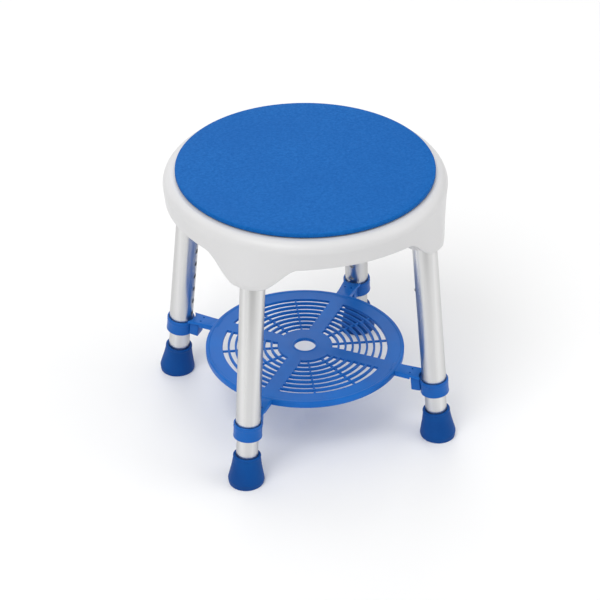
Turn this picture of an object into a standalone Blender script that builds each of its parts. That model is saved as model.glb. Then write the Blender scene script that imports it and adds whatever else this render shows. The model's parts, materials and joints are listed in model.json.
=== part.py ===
"""Shower stool: a round seat on four telescopic legs, with a turning top disc and a lift-out tray.

Metres, +Z up. The origin is on the floor under the middle of the seat. Each leg is modelled in its
own frame, whose +Z runs up the leg from the floor and whose +X points away from the stool's middle.
"""

import math

import bmesh
import bpy
from mathutils import Matrix, Vector

MM = 0.001
GAP = 0.35 * MM             # air between two pieces that sit against each other
WELD = 0.001 * MM           # distance under which two vertices are one
CUT_PAST = 3.0 * MM         # how far a cutter runs past what it cuts
SMOOTH_ANGLE = math.radians(40)

# Overall sizes
SEAT_R = 160.0 * MM
SEAT_TOP = 318.0 * MM       # top of the rim

# Legs, as distances along a leg from the floor
LEGS = {"front": -135.0, "right": -45.0, "rear": 45.0, "left": 135.0}  # degrees about +Z
SPLAY = math.radians(5.7)   # lean of each leg towards the middle
OUTER_R = 14.0 * MM
OUTER_WALL = 1.0 * MM
OUTER_BOTTOM = 62.0 * MM
HEADROOM = 18.0 * MM        # from the top of the seat's rim down to the outer tube's top
OUTER_TOP = SEAT_TOP - HEADROOM
LEG_INSET = 7.74 * MM       # from the seat's edge in to the outer tube, at the height of the rim
FOOT_CIRCLE = SEAT_R - LEG_INSET - OUTER_R + SEAT_TOP * math.tan(SPLAY)  # where the axes meet the floor
TUBE_CLEAR = 0.5 * MM       # between the tubes
INNER_R = OUTER_R - OUTER_WALL - TUBE_CLEAR
INNER_WALL = 1.2 * MM
INNER_DROP = 60.0 * MM      # from the outer tube's top down to the inner tube's
INNER_TOP = OUTER_TOP - INNER_DROP
TUBE_SIDES = 16
HOLE_SIDES = 8

# Buttons that lock a leg, and the holes they snap into
HEIGHT_PIN_DROP = 44.0 * MM  # from the inner tube's top down to its button
HEIGHT_PIN_R = 3.0 * MM
HEIGHT_PIN_PROUD = 1.8 * MM
HEIGHT_STEP = 18.0 * MM     # between two height holes
HOLE_MARGIN = 10.0 * MM     # least distance from the collar up to a height hole
SEAT_PIN_DROP = 34.0 * MM   # from the outer tube's top down to its button
SEAT_PIN_R = 3.25 * MM
SEAT_PIN_PROUD = 5.0 * MM
PIN_HEAD_EXTRA = 1.6 * MM   # how much wider a button's head is than its pin
PIN_HEAD_THICK = 1.3 * MM
PIN_NOSE = 0.45             # length of a button's rounded nose, as a share of its radius
PIN_SIDES = 8

# Leaf spring behind each button
LEAF_THICK = 0.6 * MM
LEAF_WIDTH = 8.0 * MM
LEAF_PAD = 7.0 * MM         # flat stretch of the leaf either side of the button
LEAF_DROP = 26.0 * MM       # from the button down to the spring's bend
LEAF_BEND_R = 3.0 * MM
LEAF_BEND_STEPS = 4

# Domed cap in the top of each outer tube
CAP_INSET = 2.0 * MM        # from the tube's outside in to the dome
CAP_DOME_HEIGHT = 6.5 * MM
CAP_PLUG_DEPTH = 12.0 * MM
CAP_WALL = 2.0 * MM
CAP_SHOULDER = 0.4 * MM     # from the tube's top down to where the cap fills it
CAP_STEPS = 3

# Collar at the foot of each outer tube, with the socket that holds the tray
COLLAR_LIP = 2.0 * MM       # the part of the collar below the tube
COLLAR_HEIGHT = 18.0 * MM
COLLAR_WALL = 2.15 * MM
COLLAR_CHAMFER = 0.8 * MM
COLLAR_BOTTOM = OUTER_BOTTOM - COLLAR_LIP
COLLAR_TOP = COLLAR_BOTTOM + COLLAR_HEIGHT
COLLAR_R = OUTER_R + GAP + COLLAR_WALL
CLIP_REACH = 10.0 * MM      # how far the socket block stands out of the collar
CLIP_WIDTH = 15.0 * MM
CLIP_RAISE = 2.0 * MM       # from the collar's lower edge up to the block's
CLIP_WALL = 2.0 * MM
CLIP_FLOOR = 4.0 * MM

# Guide bush on top of each inner tube
GUIDE_PLUG_DEPTH = 10.0 * MM
GUIDE_HEAD = 3.0 * MM
GUIDE_WALL = 2.95 * MM

# Rubber foot
FOOT_TOP = 36.0 * MM
FOOT_WALL = 3.15 * MM       # round the inner tube, at the foot's top
FOOT_SPREAD = 5.0 * MM      # how much further out the foot's base is than its top
FOOT_SOLE = 8.5 * MM
FOOT_LIP = 1.2 * MM
FOOT_FLARE = ((0.45, 0.30), (0.78, 0.80), (0.90, 1.00))  # shares of the way down, and of the spread
WASHER_THICK = 1.5 * MM
WASHER_BORE_R = 5.0 * MM

# Seat
SEAT_WALL = 3.5 * MM
RIM_ROUND = 12.0 * MM
RIM_STEPS = 3
RIM_WIDTH = 16.0 * MM       # from the seat's edge in to the top of the dish's slope
DISH_DEPTH = 5.0 * MM
DISH_SLOPE = 8.0 * MM
DISH_R = SEAT_R - RIM_WIDTH - DISH_SLOPE
SKIRT_WALL = 3.0 * MM
SKIRT_DEPTH = 31.0 * MM     # between the lobes
SKIRT_DRAFT = 2.0 * MM
SKIRT_SHOULDER = 2.0 * MM   # step in from the skirt's inner side to the underside of the top
SKIRT_RINGS = 3
LOBE_DEPTH = 61.0 * MM
LOBE_OUT = 8.0 * MM         # from the seat's edge out to the soft corner down the middle of a lobe
LOBE_FULL = math.radians(5.0)    # half angle over which a lobe has its whole depth
LOBE_EDGE = math.radians(21.0)   # half angle at which it has run out
LOBE_SOFT = math.radians(2.5)    # half angle over which its corner is rounded
SEAT_SIDES = 80
SEAT_CROWD = 0.4            # how much closer together the sides stand at the lobes
SLEEVE_WALL = 7.5 * MM      # at the mouth
SLEEVE_TOP_WALL = 4.0 * MM  # where the sleeve meets the underside of the top
SLEEVE_RAISE = 0.8 * MM     # from the lobe's lower edge up to the sleeve's mouth
SLEEVE_CLEAR = 0.6 * MM
SLEEVE_ROOF = 8.5 * MM      # from the top of an outer tube to the end of its bore
BORE_RUN_OUT = 10.0 * MM    # how far the bore's cutter runs out below the sleeve
PIN_HOLE_CLEAR = 0.4 * MM
HUB_WALL = 7.5 * MM
HUB_DEPTH = 10.0 * MM
RIB_COUNT = 8
RIB_THICK = 3.0 * MM
RIB_DEPTH = 8.0 * MM

# Turning top, from its middle outwards
SCREW_R = 1.9 * MM
SCREW_LENGTH = 12.0 * MM
SCREW_HEAD = 2.4 * MM
SCREW_CHAMFER = 0.8 * MM
STUB_R = 5.6 * MM
STUB_CLEAR = 0.4 * MM
SPIGOT_WALL = 3.8 * MM
SPIGOT_R = STUB_R + STUB_CLEAR + SPIGOT_WALL
SPIGOT_DEPTH = 20.0 * MM
SCREW_HEAD_INSET = 1.2 * MM  # from the spigot's outside in to the screw's head, which lifts out with it
SCREW_HEAD_R = SPIGOT_R - SCREW_HEAD_INSET
SPIGOT_CLEAR = 0.4 * MM
BUSH_R = SPIGOT_R + SPIGOT_CLEAR
BUSH_WALL = 1.95 * MM
PIVOT_BORE_R = BUSH_R + BUSH_WALL + GAP
HUB_R = PIVOT_BORE_R + HUB_WALL
BUSH_FLANGE_OUT = 4.5 * MM   # from the seat's bore out to the flange's edge
BUSH_FLANGE = 2.0 * MM
BUSH_SINK = 1.0 * MM        # from the dish down to the bush's upper face
BASE_R = 62.0 * MM
BASE_THICK = 2.6 * MM
BASE_CHAMFER = 1.0 * MM
GLIDE_INSET = 6.0 * MM      # from the base's edge in to the glide ring
GLIDE_WIDTH = 9.0 * MM
DISC_INSET = 14.0 * MM      # from the seat's edge in to the disc's
DISC_R = SEAT_R - DISC_INSET
DISC_THICK = 5.0 * MM
DISC_WEB = 3.2 * MM
DISC_LIP = 7.0 * MM
DISC_CLEAR = 1.6 * MM       # between the seat's rim and the disc
DISC_ROUND = 1.4 * MM
DISC_ROUND_STEPS = 2
DISC_CHAMFER = 0.6 * MM
DISC_SIDES = 48
SMALL_SIDES = 16

# Tray
TRAY_GAP = 18.5 * MM        # from the tray's rim out to the collars' socket blocks
TRAY_RAISE = 2.0 * MM       # how much higher along a leg the tray's top is than the collar's
TRAY_THICK = 3.4 * MM
TRAY_HOLE_R = 12.5 * MM
TRAY_HUB_R = 32.5 * MM
TRAY_SLOT = 5.9 * MM
TRAY_ARC = 2.5 * MM
TRAY_BAND = 17.5 * MM       # least width of the plain band outside the slots
TRAY_SPOKE = 17.0 * MM
TRAY_RIB = 2.6 * MM
TRAY_RIM_WIDTH = 3.4 * MM
TRAY_RIM_DEPTH = 6.8 * MM
TRAY_BEAD = 0.5 * MM
TRAY_CHAMFER = 0.8 * MM
TRAY_TOP = COLLAR_TOP + TRAY_RAISE
TRAY_SIDES = 48
TAB_ROOT = 17.0 * MM
TAB_FORK = 21.0 * MM
TAB_CLEAR = 3.2 * MM        # from a tube to the fork that faces it, so that the tray can lift
TAB_OVERLAP = 4.0 * MM      # how far an arm reaches in past the rim
TAB_STRAIGHT = 6.0 * MM     # from the rim to where an arm starts to widen
TAB_INSET = 0.1 * MM        # how far an arm's faces lie inside the grille's
TAB_ARC_STEPS = 4
LIP_WIDTH = 9.0 * MM
LIP_THICK = 2.4 * MM
LIP_DEPTH = 8.0 * MM

FINISHES = {
    "blue_plastic": ((0.020, 0.105, 0.440, 1.0), 0.42, 0.0),
    "disc_plastic": ((0.028, 0.165, 0.500, 1.0), 0.50, 0.0),
    "white_plastic": ((0.800, 0.810, 0.820, 1.0), 0.35, 0.0),
    "black_plastic": ((0.012, 0.012, 0.013, 1.0), 0.25, 0.0),
    "pale_plastic": ((0.560, 0.570, 0.580, 1.0), 0.45, 0.0),
    "blue_rubber": ((0.018, 0.085, 0.340, 1.0), 0.70, 0.0),
    "aluminium": ((0.720, 0.710, 0.700, 1.0), 0.32, 1.0),
    "dark_steel": ((0.120, 0.090, 0.080, 1.0), 0.35, 1.0),
    "steel": ((0.560, 0.570, 0.580, 1.0), 0.30, 1.0),
}


# ------------------------------------------------------------------ tools

def new_material(name, finish):
    """A Principled material in one of the object's finishes."""
    colour, roughness, metallic = FINISHES[finish]
    material = bpy.data.materials.new(name)
    material.use_nodes = True
    shader = material.node_tree.nodes["Principled BSDF"]
    shader.inputs["Base Color"].default_value = colour
    shader.inputs["Roughness"].default_value = roughness
    shader.inputs["Metallic"].default_value = metallic
    material.diffuse_color = colour
    return material


def add_object(name, bm, finish=None, parent=None, at=(0, 0, 0)):
    """Turns a bmesh into an object. With no finish it is a hidden cutter."""
    bmesh.ops.remove_doubles(bm, verts=bm.verts, dist=WELD)
    bmesh.ops.recalc_face_normals(bm, faces=bm.faces)
    mesh = bpy.data.meshes.new(name)
    bm.to_mesh(mesh)
    bm.free()
    obj = bpy.data.objects.new(name, mesh)
    bpy.context.collection.objects.link(obj)
    obj.parent = parent
    obj.location = at
    if finish is None:
        obj.hide_render = True
        obj.display_type = "WIRE"
    else:
        mesh.shade_smooth()
        mesh.set_sharp_from_angle(angle=SMOOTH_ANGLE)
        mesh.materials.append(new_material(name, finish))
    return obj


def add_empty(name, parent=None, matrix=None):
    """An empty that stands for a joint's axis or a leg's frame."""
    empty = bpy.data.objects.new(name, None)
    empty.empty_display_size = 0.02
    bpy.context.collection.objects.link(empty)
    empty.parent = parent
    if matrix is not None:
        empty.matrix_local = matrix
    return empty


def boolean(obj, tool, operation):
    """Adds or cuts the hidden object, as a live modifier."""
    modifier = obj.modifiers.new(tool.name, "BOOLEAN")
    modifier.operation = operation
    modifier.object = tool
    modifier.solver = "EXACT"


def arc(centre, radius, start, end, steps):
    """Points on an arc in the profile plane, angles in degrees from outwards towards up."""
    points = []
    for i in range(steps + 1):
        angle = math.radians(start + (end - start) * i / steps)
        points.append((centre[0] + radius * math.cos(angle), centre[1] + radius * math.sin(angle)))
    return points


def turned(profile, sides, closed=True):
    """Spins a profile of (radius, height) points about +Z. An open one starts and ends on the axis."""
    bm = bmesh.new()
    verts = [bm.verts.new((r, 0, z)) for r, z in profile]
    edges = [bm.edges.new(pair) for pair in zip(verts, verts[1:])]
    if closed:
        edges.append(bm.edges.new((verts[-1], verts[0])))
    bmesh.ops.spin(bm, geom=verts + edges, cent=(0, 0, 0), axis=(0, 0, 1), dvec=(0, 0, 0),
                   angle=math.tau, steps=sides, use_merge=True, use_duplicate=False)
    bmesh.ops.remove_doubles(bm, verts=bm.verts, dist=WELD)
    return bm


def rod(bm, radius, start, end, sides):
    """Adds a closed cylinder from start to end, turned by half a facet so that a flat faces up."""
    start, end = Vector(start), Vector(end)
    turn = (end - start).to_track_quat("Z", "Y").to_matrix().to_4x4()
    place = Matrix.Translation((start + end) / 2) @ turn @ Matrix.Rotation(math.pi / sides, 4, "Z")
    bmesh.ops.create_cone(bm, cap_ends=True, segments=sides, radius1=radius, radius2=radius,
                          depth=(end - start).length, matrix=place)


def block(bm, low, high):
    """Adds a box between two corners."""
    low, high = Vector(low), Vector(high)
    size = Matrix.Diagonal((*(high - low), 1))
    bmesh.ops.create_cube(bm, size=1, matrix=Matrix.Translation((low + high) / 2) @ size)


def prism(outline, low, high):
    """Extrudes a plan outline of (x, y) points from one height to another."""
    bm = bmesh.new()
    face = bm.faces.new([bm.verts.new((x, y, low)) for x, y in outline])
    grown = bmesh.ops.extrude_face_region(bm, geom=[face])["geom"]
    bmesh.ops.translate(bm, verts=[v for v in grown if isinstance(v, bmesh.types.BMVert)],
                        vec=(0, 0, high - low))
    return bm


def leg_matrix(azimuth):
    """The frame of the leg that stands in this direction."""
    turn = Matrix.Rotation(math.radians(azimuth), 4, "Z")
    lean = Matrix.Rotation(-SPLAY, 4, "Y")
    return turn @ Matrix.Translation((FOOT_CIRCLE, 0, 0)) @ lean


def axis_radius(height):
    """Distance from the stool's middle to a leg's axis at this height."""
    return FOOT_CIRCLE - height * math.tan(SPLAY)


# ------------------------------------------------------------------ legs

def height_pin_at():
    """Distance along a leg of the button that sets its height, with the leg at its shortest."""
    return INNER_TOP - HEIGHT_PIN_DROP


def height_holes():
    """Distances along a leg of the holes that set its height: as many as fit above the collar."""
    room = height_pin_at() - COLLAR_TOP - HOLE_MARGIN
    steps = math.floor(room / HEIGHT_STEP + WELD)
    return [height_pin_at() - i * HEIGHT_STEP for i in range(steps + 1)]


def seat_pin_at():
    """Distance along a leg of the button that locks it into the seat."""
    return OUTER_TOP - SEAT_PIN_DROP


def cross_holes(name, heights, radius, reach, parent):
    """A cutter with one hole through a tube's inward side at each height."""
    bm = bmesh.new()
    for height in heights:
        rod(bm, radius, (-reach[1], 0, height), (-reach[0], 0, height), HOLE_SIDES)
    return add_object(name, bm, parent=parent)


def outer_tube(leg, frame):
    """Upper tube, with a row of height holes and one hole for the seat's button."""
    inside = OUTER_R - OUTER_WALL
    bm = turned([(OUTER_R, OUTER_TOP), (OUTER_R, OUTER_BOTTOM),
                 (inside, OUTER_BOTTOM), (inside, OUTER_TOP)], TUBE_SIDES)
    tube = add_object(f"{leg}_outer_tube", bm, "aluminium", frame)
    reach = (inside - CUT_PAST, OUTER_R + CUT_PAST)
    boolean(tube, cross_holes(f"{leg}_height_hole_cutter", height_holes(),
                              HEIGHT_PIN_R + GAP, reach, frame), "DIFFERENCE")
    boolean(tube, cross_holes(f"{leg}_seat_hole_cutter", [seat_pin_at()],
                              SEAT_PIN_R + GAP, reach, frame), "DIFFERENCE")


def top_cap(leg, frame):
    """Domed plug that closes the top of the outer tube."""
    plug_r = OUTER_R - OUTER_WALL - GAP
    rise = CAP_DOME_HEIGHT
    dome = []
    for i in range(CAP_STEPS):
        turn = math.radians(90 * i / CAP_STEPS)
        dome.append(((OUTER_R - CAP_INSET) * math.cos(turn), OUTER_TOP + rise * math.sin(turn)))
    bottom = OUTER_TOP - CAP_PLUG_DEPTH
    hollow_r = plug_r - CAP_WALL
    profile = [(0, OUTER_TOP + rise)] + dome[::-1]
    profile += [(plug_r, OUTER_TOP - CAP_SHOULDER), (plug_r, bottom), (hollow_r, bottom),
                (hollow_r, OUTER_TOP), (0, OUTER_TOP + rise - CAP_WALL)]
    add_object(f"{leg}_top_cap", turned(profile, TUBE_SIDES, closed=False), "black_plastic", frame)


def collar(leg, frame):
    """Ring on the foot of the outer tube, with an open-topped socket for the tray's lip."""
    lip_r = INNER_R + GAP
    bore_r = OUTER_R + GAP
    lip_top = OUTER_BOTTOM - GAP
    edge = COLLAR_CHAMFER
    profile = [(bore_r, COLLAR_TOP), (COLLAR_R - edge, COLLAR_TOP), (COLLAR_R, COLLAR_TOP - edge),
               (COLLAR_R, COLLAR_BOTTOM + edge), (COLLAR_R - edge, COLLAR_BOTTOM),
               (lip_r, COLLAR_BOTTOM), (lip_r, lip_top), (bore_r, lip_top)]
    ring = add_object(f"{leg}_collar", turned(profile, TUBE_SIDES), "blue_plastic", frame)
    far = COLLAR_R + CLIP_REACH
    near = (bore_r + COLLAR_R) / 2
    half = CLIP_WIDTH / 2
    bottom = COLLAR_BOTTOM + CLIP_RAISE
    top = COLLAR_TOP - GAP
    bm = bmesh.new()
    block(bm, (-far, -half, bottom), (-near, half, top))
    boolean(ring, add_object(f"{leg}_clip_block", bm, parent=frame), "UNION")
    bm = bmesh.new()
    block(bm, (-far + CLIP_WALL, -half + CLIP_WALL, bottom + CLIP_FLOOR),
          (-COLLAR_R - CLIP_WALL, half - CLIP_WALL, top + CUT_PAST))
    boolean(ring, add_object(f"{leg}_clip_pocket", bm, parent=frame), "DIFFERENCE")


def flat_inside(bore_r, half_width):
    """How far from a tube's axis a flat of this half width can lie and still clear the bore."""
    facet_r = bore_r * math.cos(math.pi / TUBE_SIDES)
    return math.sqrt(facet_r ** 2 - half_width ** 2) - GAP


def button(name, parent, height, pin_r, bore_r, tip):
    """Round-nosed pin with a wide head. It points at the stool's middle, and slides along its own axis."""
    head_r = pin_r + PIN_HEAD_EXTRA
    head_out = flat_inside(bore_r, head_r)
    head_in = head_out - PIN_HEAD_THICK
    nose = PIN_NOSE * pin_r
    profile = [(0, tip)]
    profile += [(pin_r * math.sin(math.radians(a)), tip - nose * (1 - math.cos(math.radians(a))))
                for a in (45, 90)]
    profile += [(pin_r, head_out), (head_r, head_out), (head_r, head_in), (0, head_in)]
    bm = turned(profile, PIN_SIDES, closed=False)
    half_facet = Matrix.Rotation(math.pi / PIN_SIDES, 3, "Z")
    bmesh.ops.rotate(bm, verts=bm.verts, matrix=Matrix.Rotation(-math.pi / 2, 3, "Y") @ half_facet)
    add_object(name, bm, "dark_steel", parent, (0, 0, height))
    return head_in


def leaf_spring(name, parent, height, head_in, bore_r):
    """Bent strip behind a button: one arm under its head, the other against the far wall."""
    near = -(head_in - GAP - LEAF_THICK / 2)
    far = flat_inside(bore_r, LEAF_WIDTH / 2) - LEAF_THICK / 2
    path = [Vector((near, 0, height + LEAF_PAD)), Vector((near, 0, height - LEAF_PAD))]
    low = height - LEAF_DROP
    for i in range(LEAF_BEND_STEPS + 1):
        turn = math.pi + math.pi * i / LEAF_BEND_STEPS
        path.append(Vector((LEAF_BEND_R * math.cos(turn), 0, low + LEAF_BEND_R * math.sin(turn))))
    path.append(Vector((far, 0, height)))
    bm = bmesh.new()
    across = Vector((0, LEAF_WIDTH / 2, 0))
    rows = [(bm.verts.new(p - across), bm.verts.new(p + across)) for p in path]
    for a, b in zip(rows, rows[1:]):
        bm.faces.new((a[0], a[1], b[1], b[0]))
    leaf = add_object(name, bm, "steel", parent)
    wall = leaf.modifiers.new("thickness", "SOLIDIFY")
    wall.thickness = LEAF_THICK
    wall.offset = 0


def inner_tube(leg, frame):
    """Lower tube, which slides in the upper one, with one hole for its button."""
    inside = INNER_R - INNER_WALL
    bottom = FOOT_SOLE + WASHER_THICK + 2 * GAP
    bm = turned([(INNER_R, INNER_TOP), (INNER_R, bottom), (inside, bottom), (inside, INNER_TOP)],
                TUBE_SIDES)
    tube = add_object(f"{leg}_inner_tube", bm, "aluminium", frame)
    hole = cross_holes(f"{leg}_inner_hole_cutter", [height_pin_at()], HEIGHT_PIN_R + GAP,
                       (inside - CUT_PAST, INNER_R + CUT_PAST), frame)
    boolean(tube, hole, "DIFFERENCE")


def guide_bush(leg, frame):
    """Plastic bush on the inner tube's top, which runs in the outer tube."""
    plug_r = INNER_R - INNER_WALL - GAP
    bore_r = plug_r - GUIDE_WALL
    head_r = OUTER_R - OUTER_WALL - GAP
    seat = INNER_TOP + GAP
    plug_end = INNER_TOP - GUIDE_PLUG_DEPTH
    profile = [(bore_r, seat + GUIDE_HEAD), (head_r, seat + GUIDE_HEAD), (head_r, seat), (plug_r, seat),
               (plug_r, plug_end), (bore_r, plug_end)]
    add_object(f"{leg}_guide_bush", turned(profile, TUBE_SIDES), "pale_plastic", frame)


def foot(leg, frame):
    """Flared rubber foot, cut level with the floor, with a steel washer in its socket."""
    bore_r = INNER_R + GAP
    top_r = bore_r + FOOT_WALL
    base_r = top_r + FOOT_SPREAD
    below = -base_r * math.tan(SPLAY) - CUT_PAST
    profile = [(0, FOOT_SOLE), (bore_r, FOOT_SOLE), (bore_r, FOOT_TOP), (top_r - FOOT_LIP, FOOT_TOP),
               (top_r, FOOT_TOP - FOOT_LIP)]
    profile += [(top_r + out * FOOT_SPREAD, (1 - down) * FOOT_TOP) for down, out in FOOT_FLARE]
    profile += [(base_r, below), (0, below)]
    bm = turned(profile, TUBE_SIDES, closed=False)
    level = Vector((math.sin(SPLAY), 0, math.cos(SPLAY)))
    bmesh.ops.bisect_plane(bm, geom=bm.verts[:] + bm.edges[:] + bm.faces[:], plane_co=(0, 0, 0),
                           plane_no=level, clear_inner=True, dist=WELD)
    rim = [edge for edge in bm.edges if edge.is_boundary]
    bmesh.ops.edgeloop_fill(bm, edges=rim)
    add_object(f"{leg}_foot", bm, "blue_rubber", frame)
    low = FOOT_SOLE + GAP
    profile = [(bore_r - GAP, low + WASHER_THICK), (bore_r - GAP, low), (WASHER_BORE_R, low),
               (WASHER_BORE_R, low + WASHER_THICK)]
    add_object(f"{leg}_foot_washer", turned(profile, TUBE_SIDES), "steel", frame)


def build_leg(leg, azimuth):
    """One leg: the part that pulls out of the seat, and the part that slides in it."""
    pull = add_empty(f"{leg}_pull_axis", matrix=leg_matrix(azimuth))
    outer_tube(leg, pull)
    top_cap(leg, pull)
    collar(leg, pull)
    outer_inside = OUTER_R - OUTER_WALL
    head = button(f"{leg}_seat_button", pull, seat_pin_at(), SEAT_PIN_R, outer_inside,
                  OUTER_R + SEAT_PIN_PROUD)
    leaf_spring(f"{leg}_seat_spring", pull, seat_pin_at(), head, outer_inside)
    slide = add_empty(f"{leg}_height_axis", parent=pull)
    inner_tube(leg, slide)
    guide_bush(leg, slide)
    foot(leg, slide)
    inner_inside = INNER_R - INNER_WALL
    head = button(f"{leg}_height_button", slide, height_pin_at(), HEIGHT_PIN_R, inner_inside,
                  OUTER_R + HEIGHT_PIN_PROUD)
    leaf_spring(f"{leg}_height_spring", slide, height_pin_at(), head, inner_inside)


# ------------------------------------------------------------------ seat

def fade(value, full, edge):
    """One up to full, none from edge on, and a smooth step between."""
    t = min(max((edge - value) / (edge - full), 0.0), 1.0)
    return t * t * (3 - 2 * t)


def lobe_angle(azimuth):
    """Angle from this direction to the nearest leg, in radians."""
    quarter = math.pi / 2
    return abs((azimuth % quarter) - quarter / 2)


def corner_radius(angle):
    """Plan radius of the lobes' two flats, which leave the skirt's circle on its tangents."""
    leave = math.acos(SEAT_R / (SEAT_R + LOBE_OUT)) + LOBE_SOFT
    soft = math.hypot(angle, LOBE_SOFT)
    return SEAT_R / math.cos(max(leave - soft, 0.0))


def shape_lobes(bm):
    """Crowds the sides towards the legs, then draws the skirt down and out there."""
    skirt_top = SEAT_TOP - RIM_ROUND
    skirt_run = SKIRT_DEPTH - RIM_ROUND
    for vert in bm.verts:
        radius = math.hypot(vert.co.x, vert.co.y)
        azimuth = math.atan2(vert.co.y, vert.co.x)
        azimuth += SEAT_CROWD / 4 * math.sin(4 * azimuth)
        share = (skirt_top - vert.co.z) / skirt_run
        if share > 0 and radius > DISH_R:
            angle = lobe_angle(azimuth)
            deep = fade(angle, LOBE_FULL, LOBE_EDGE)
            vert.co.z -= share * deep * (LOBE_DEPTH - SKIRT_DEPTH)
            swell = corner_radius(angle) / SEAT_R - 1
            radius *= 1 + swell * share
        vert.co.x = radius * math.cos(azimuth)
        vert.co.y = radius * math.sin(azimuth)


def seat_body():
    """Dished top, rounded rim and skirt in one wall, with a hub round the pivot's bore."""
    dish = SEAT_TOP - DISH_DEPTH
    under = dish - SEAT_WALL
    skirt_top = SEAT_TOP - RIM_ROUND
    inner_r = SEAT_R - SKIRT_WALL
    profile = [(PIVOT_BORE_R, dish), (DISH_R, dish), (DISH_R + DISH_SLOPE, SEAT_TOP)]
    profile += arc((SEAT_R - RIM_ROUND, skirt_top), RIM_ROUND, 90, 0, RIM_STEPS)
    run = SKIRT_DEPTH - RIM_ROUND
    for i in range(1, SKIRT_RINGS + 1):
        share = i / SKIRT_RINGS
        profile.append((SEAT_R - SKIRT_DRAFT * share, skirt_top - run * share))
    for i in range(SKIRT_RINGS, -1, -1):
        share = i / SKIRT_RINGS
        profile.append((inner_r - SKIRT_DRAFT * share, skirt_top - run * share))
    profile += [(inner_r - SKIRT_SHOULDER, under), (HUB_R, under), (HUB_R, dish - HUB_DEPTH),
                (PIVOT_BORE_R, dish - HUB_DEPTH)]
    bm = turned(profile, SEAT_SIDES)
    shape_lobes(bm)
    return add_object("seat_shell", bm, "white_plastic")


def sleeve_mouth():
    """Distance along a leg of the lower end of the socket it stands in."""
    return (SEAT_TOP - LOBE_DEPTH) / math.cos(SPLAY) + SLEEVE_RAISE


def under_top():
    """Height half way through the wall of the seat's top, where what hangs below it ends."""
    return SEAT_TOP - DISH_DEPTH - SEAT_WALL / 2


def seat_sleeves():
    """The four solid sockets, before they are bored. Each narrows upwards, to stay inside the rim."""
    bore_r = OUTER_R + SLEEVE_CLEAR
    low = sleeve_mouth()
    high = (under_top() + OUTER_R * math.sin(SPLAY)) / math.cos(SPLAY) + CUT_PAST
    bm = bmesh.new()
    for azimuth in LEGS.values():
        place = leg_matrix(azimuth) @ Matrix.Translation((0, 0, (low + high) / 2))
        half_facet = Matrix.Rotation(math.pi / TUBE_SIDES, 4, "Z")
        bmesh.ops.create_cone(bm, cap_ends=True, segments=TUBE_SIDES, radius1=bore_r + SLEEVE_WALL,
                              radius2=bore_r + SLEEVE_TOP_WALL, depth=high - low,
                              matrix=place @ half_facet)
    bmesh.ops.bisect_plane(bm, geom=bm.verts[:] + bm.edges[:] + bm.faces[:],
                           plane_co=(0, 0, under_top()), plane_no=(0, 0, 1), clear_outer=True, dist=WELD)
    bmesh.ops.holes_fill(bm, edges=[e for e in bm.edges if e.is_boundary], sides=0)
    return add_object("seat_sleeve_blocks", bm)


def seat_bores():
    """Cutter for the four bores that take the legs."""
    bm = bmesh.new()
    for azimuth in LEGS.values():
        place = leg_matrix(azimuth)
        start = place @ Vector((0, 0, sleeve_mouth() - BORE_RUN_OUT))
        end = place @ Vector((0, 0, OUTER_TOP + SLEEVE_ROOF))
        rod(bm, OUTER_R + SLEEVE_CLEAR, start, end, TUBE_SIDES)
    return add_object("seat_bore_cutter", bm)


def seat_pin_holes():
    """Cutter for the hole in each sleeve that its leg's button snaps into."""
    bore_r = OUTER_R + SLEEVE_CLEAR
    bm = bmesh.new()
    for azimuth in LEGS.values():
        place = leg_matrix(azimuth)
        start = place @ Vector((-bore_r + CUT_PAST, 0, seat_pin_at()))
        end = place @ Vector((-bore_r - SLEEVE_WALL - CUT_PAST, 0, seat_pin_at()))
        rod(bm, SEAT_PIN_R + PIN_HOLE_CLEAR, start, end, HOLE_SIDES)
    return add_object("seat_pin_hole_cutter", bm)


def seat_ribs():
    """Stiffening ribs under the seat, from the hub to the skirt or to a sleeve."""
    top = under_top()
    start = (HUB_R + PIVOT_BORE_R) / 2
    skirt_end = SEAT_R - SKIRT_WALL / 2 - SKIRT_DRAFT / 2
    sleeve_end = axis_radius(top) - OUTER_R - SLEEVE_CLEAR - SLEEVE_TOP_WALL / 2
    bm = bmesh.new()
    for i in range(RIB_COUNT):
        azimuth = math.tau * i / RIB_COUNT
        end = sleeve_end if lobe_angle(azimuth) < LOBE_FULL else skirt_end
        rib = bmesh.new()
        block(rib, (start, -RIB_THICK / 2, top - RIB_DEPTH), (end, RIB_THICK / 2, top))
        bmesh.ops.rotate(rib, verts=rib.verts, matrix=Matrix.Rotation(azimuth, 3, "Z"))
        mesh = bpy.data.meshes.new("rib")
        rib.to_mesh(mesh)
        rib.free()
        bm.from_mesh(mesh)
        bpy.data.meshes.remove(mesh)
    return add_object("seat_rib_blocks", bm)


def build_seat():
    """Seat shell, with its sleeves and ribs joined on and its bores cut."""
    shell = seat_body()
    boolean(shell, seat_sleeves(), "UNION")
    boolean(shell, seat_ribs(), "UNION")
    boolean(shell, seat_bores(), "DIFFERENCE")
    boolean(shell, seat_pin_holes(), "DIFFERENCE")


# ------------------------------------------------------------------ turning top

def pivot_bush():
    """Bush in the seat's hub, in which the swivel base stands."""
    top = SEAT_TOP - DISH_DEPTH - BUSH_SINK
    bottom = SEAT_TOP - DISH_DEPTH - HUB_DEPTH - GAP
    outer_r = PIVOT_BORE_R - GAP
    flange_r = PIVOT_BORE_R + BUSH_FLANGE_OUT
    profile = [(BUSH_R, top), (outer_r, top), (outer_r, bottom), (flange_r, bottom),
               (flange_r, bottom - BUSH_FLANGE), (BUSH_R, bottom - BUSH_FLANGE)]
    add_object("pivot_bush", turned(profile, SMALL_SIDES), "pale_plastic")


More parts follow.
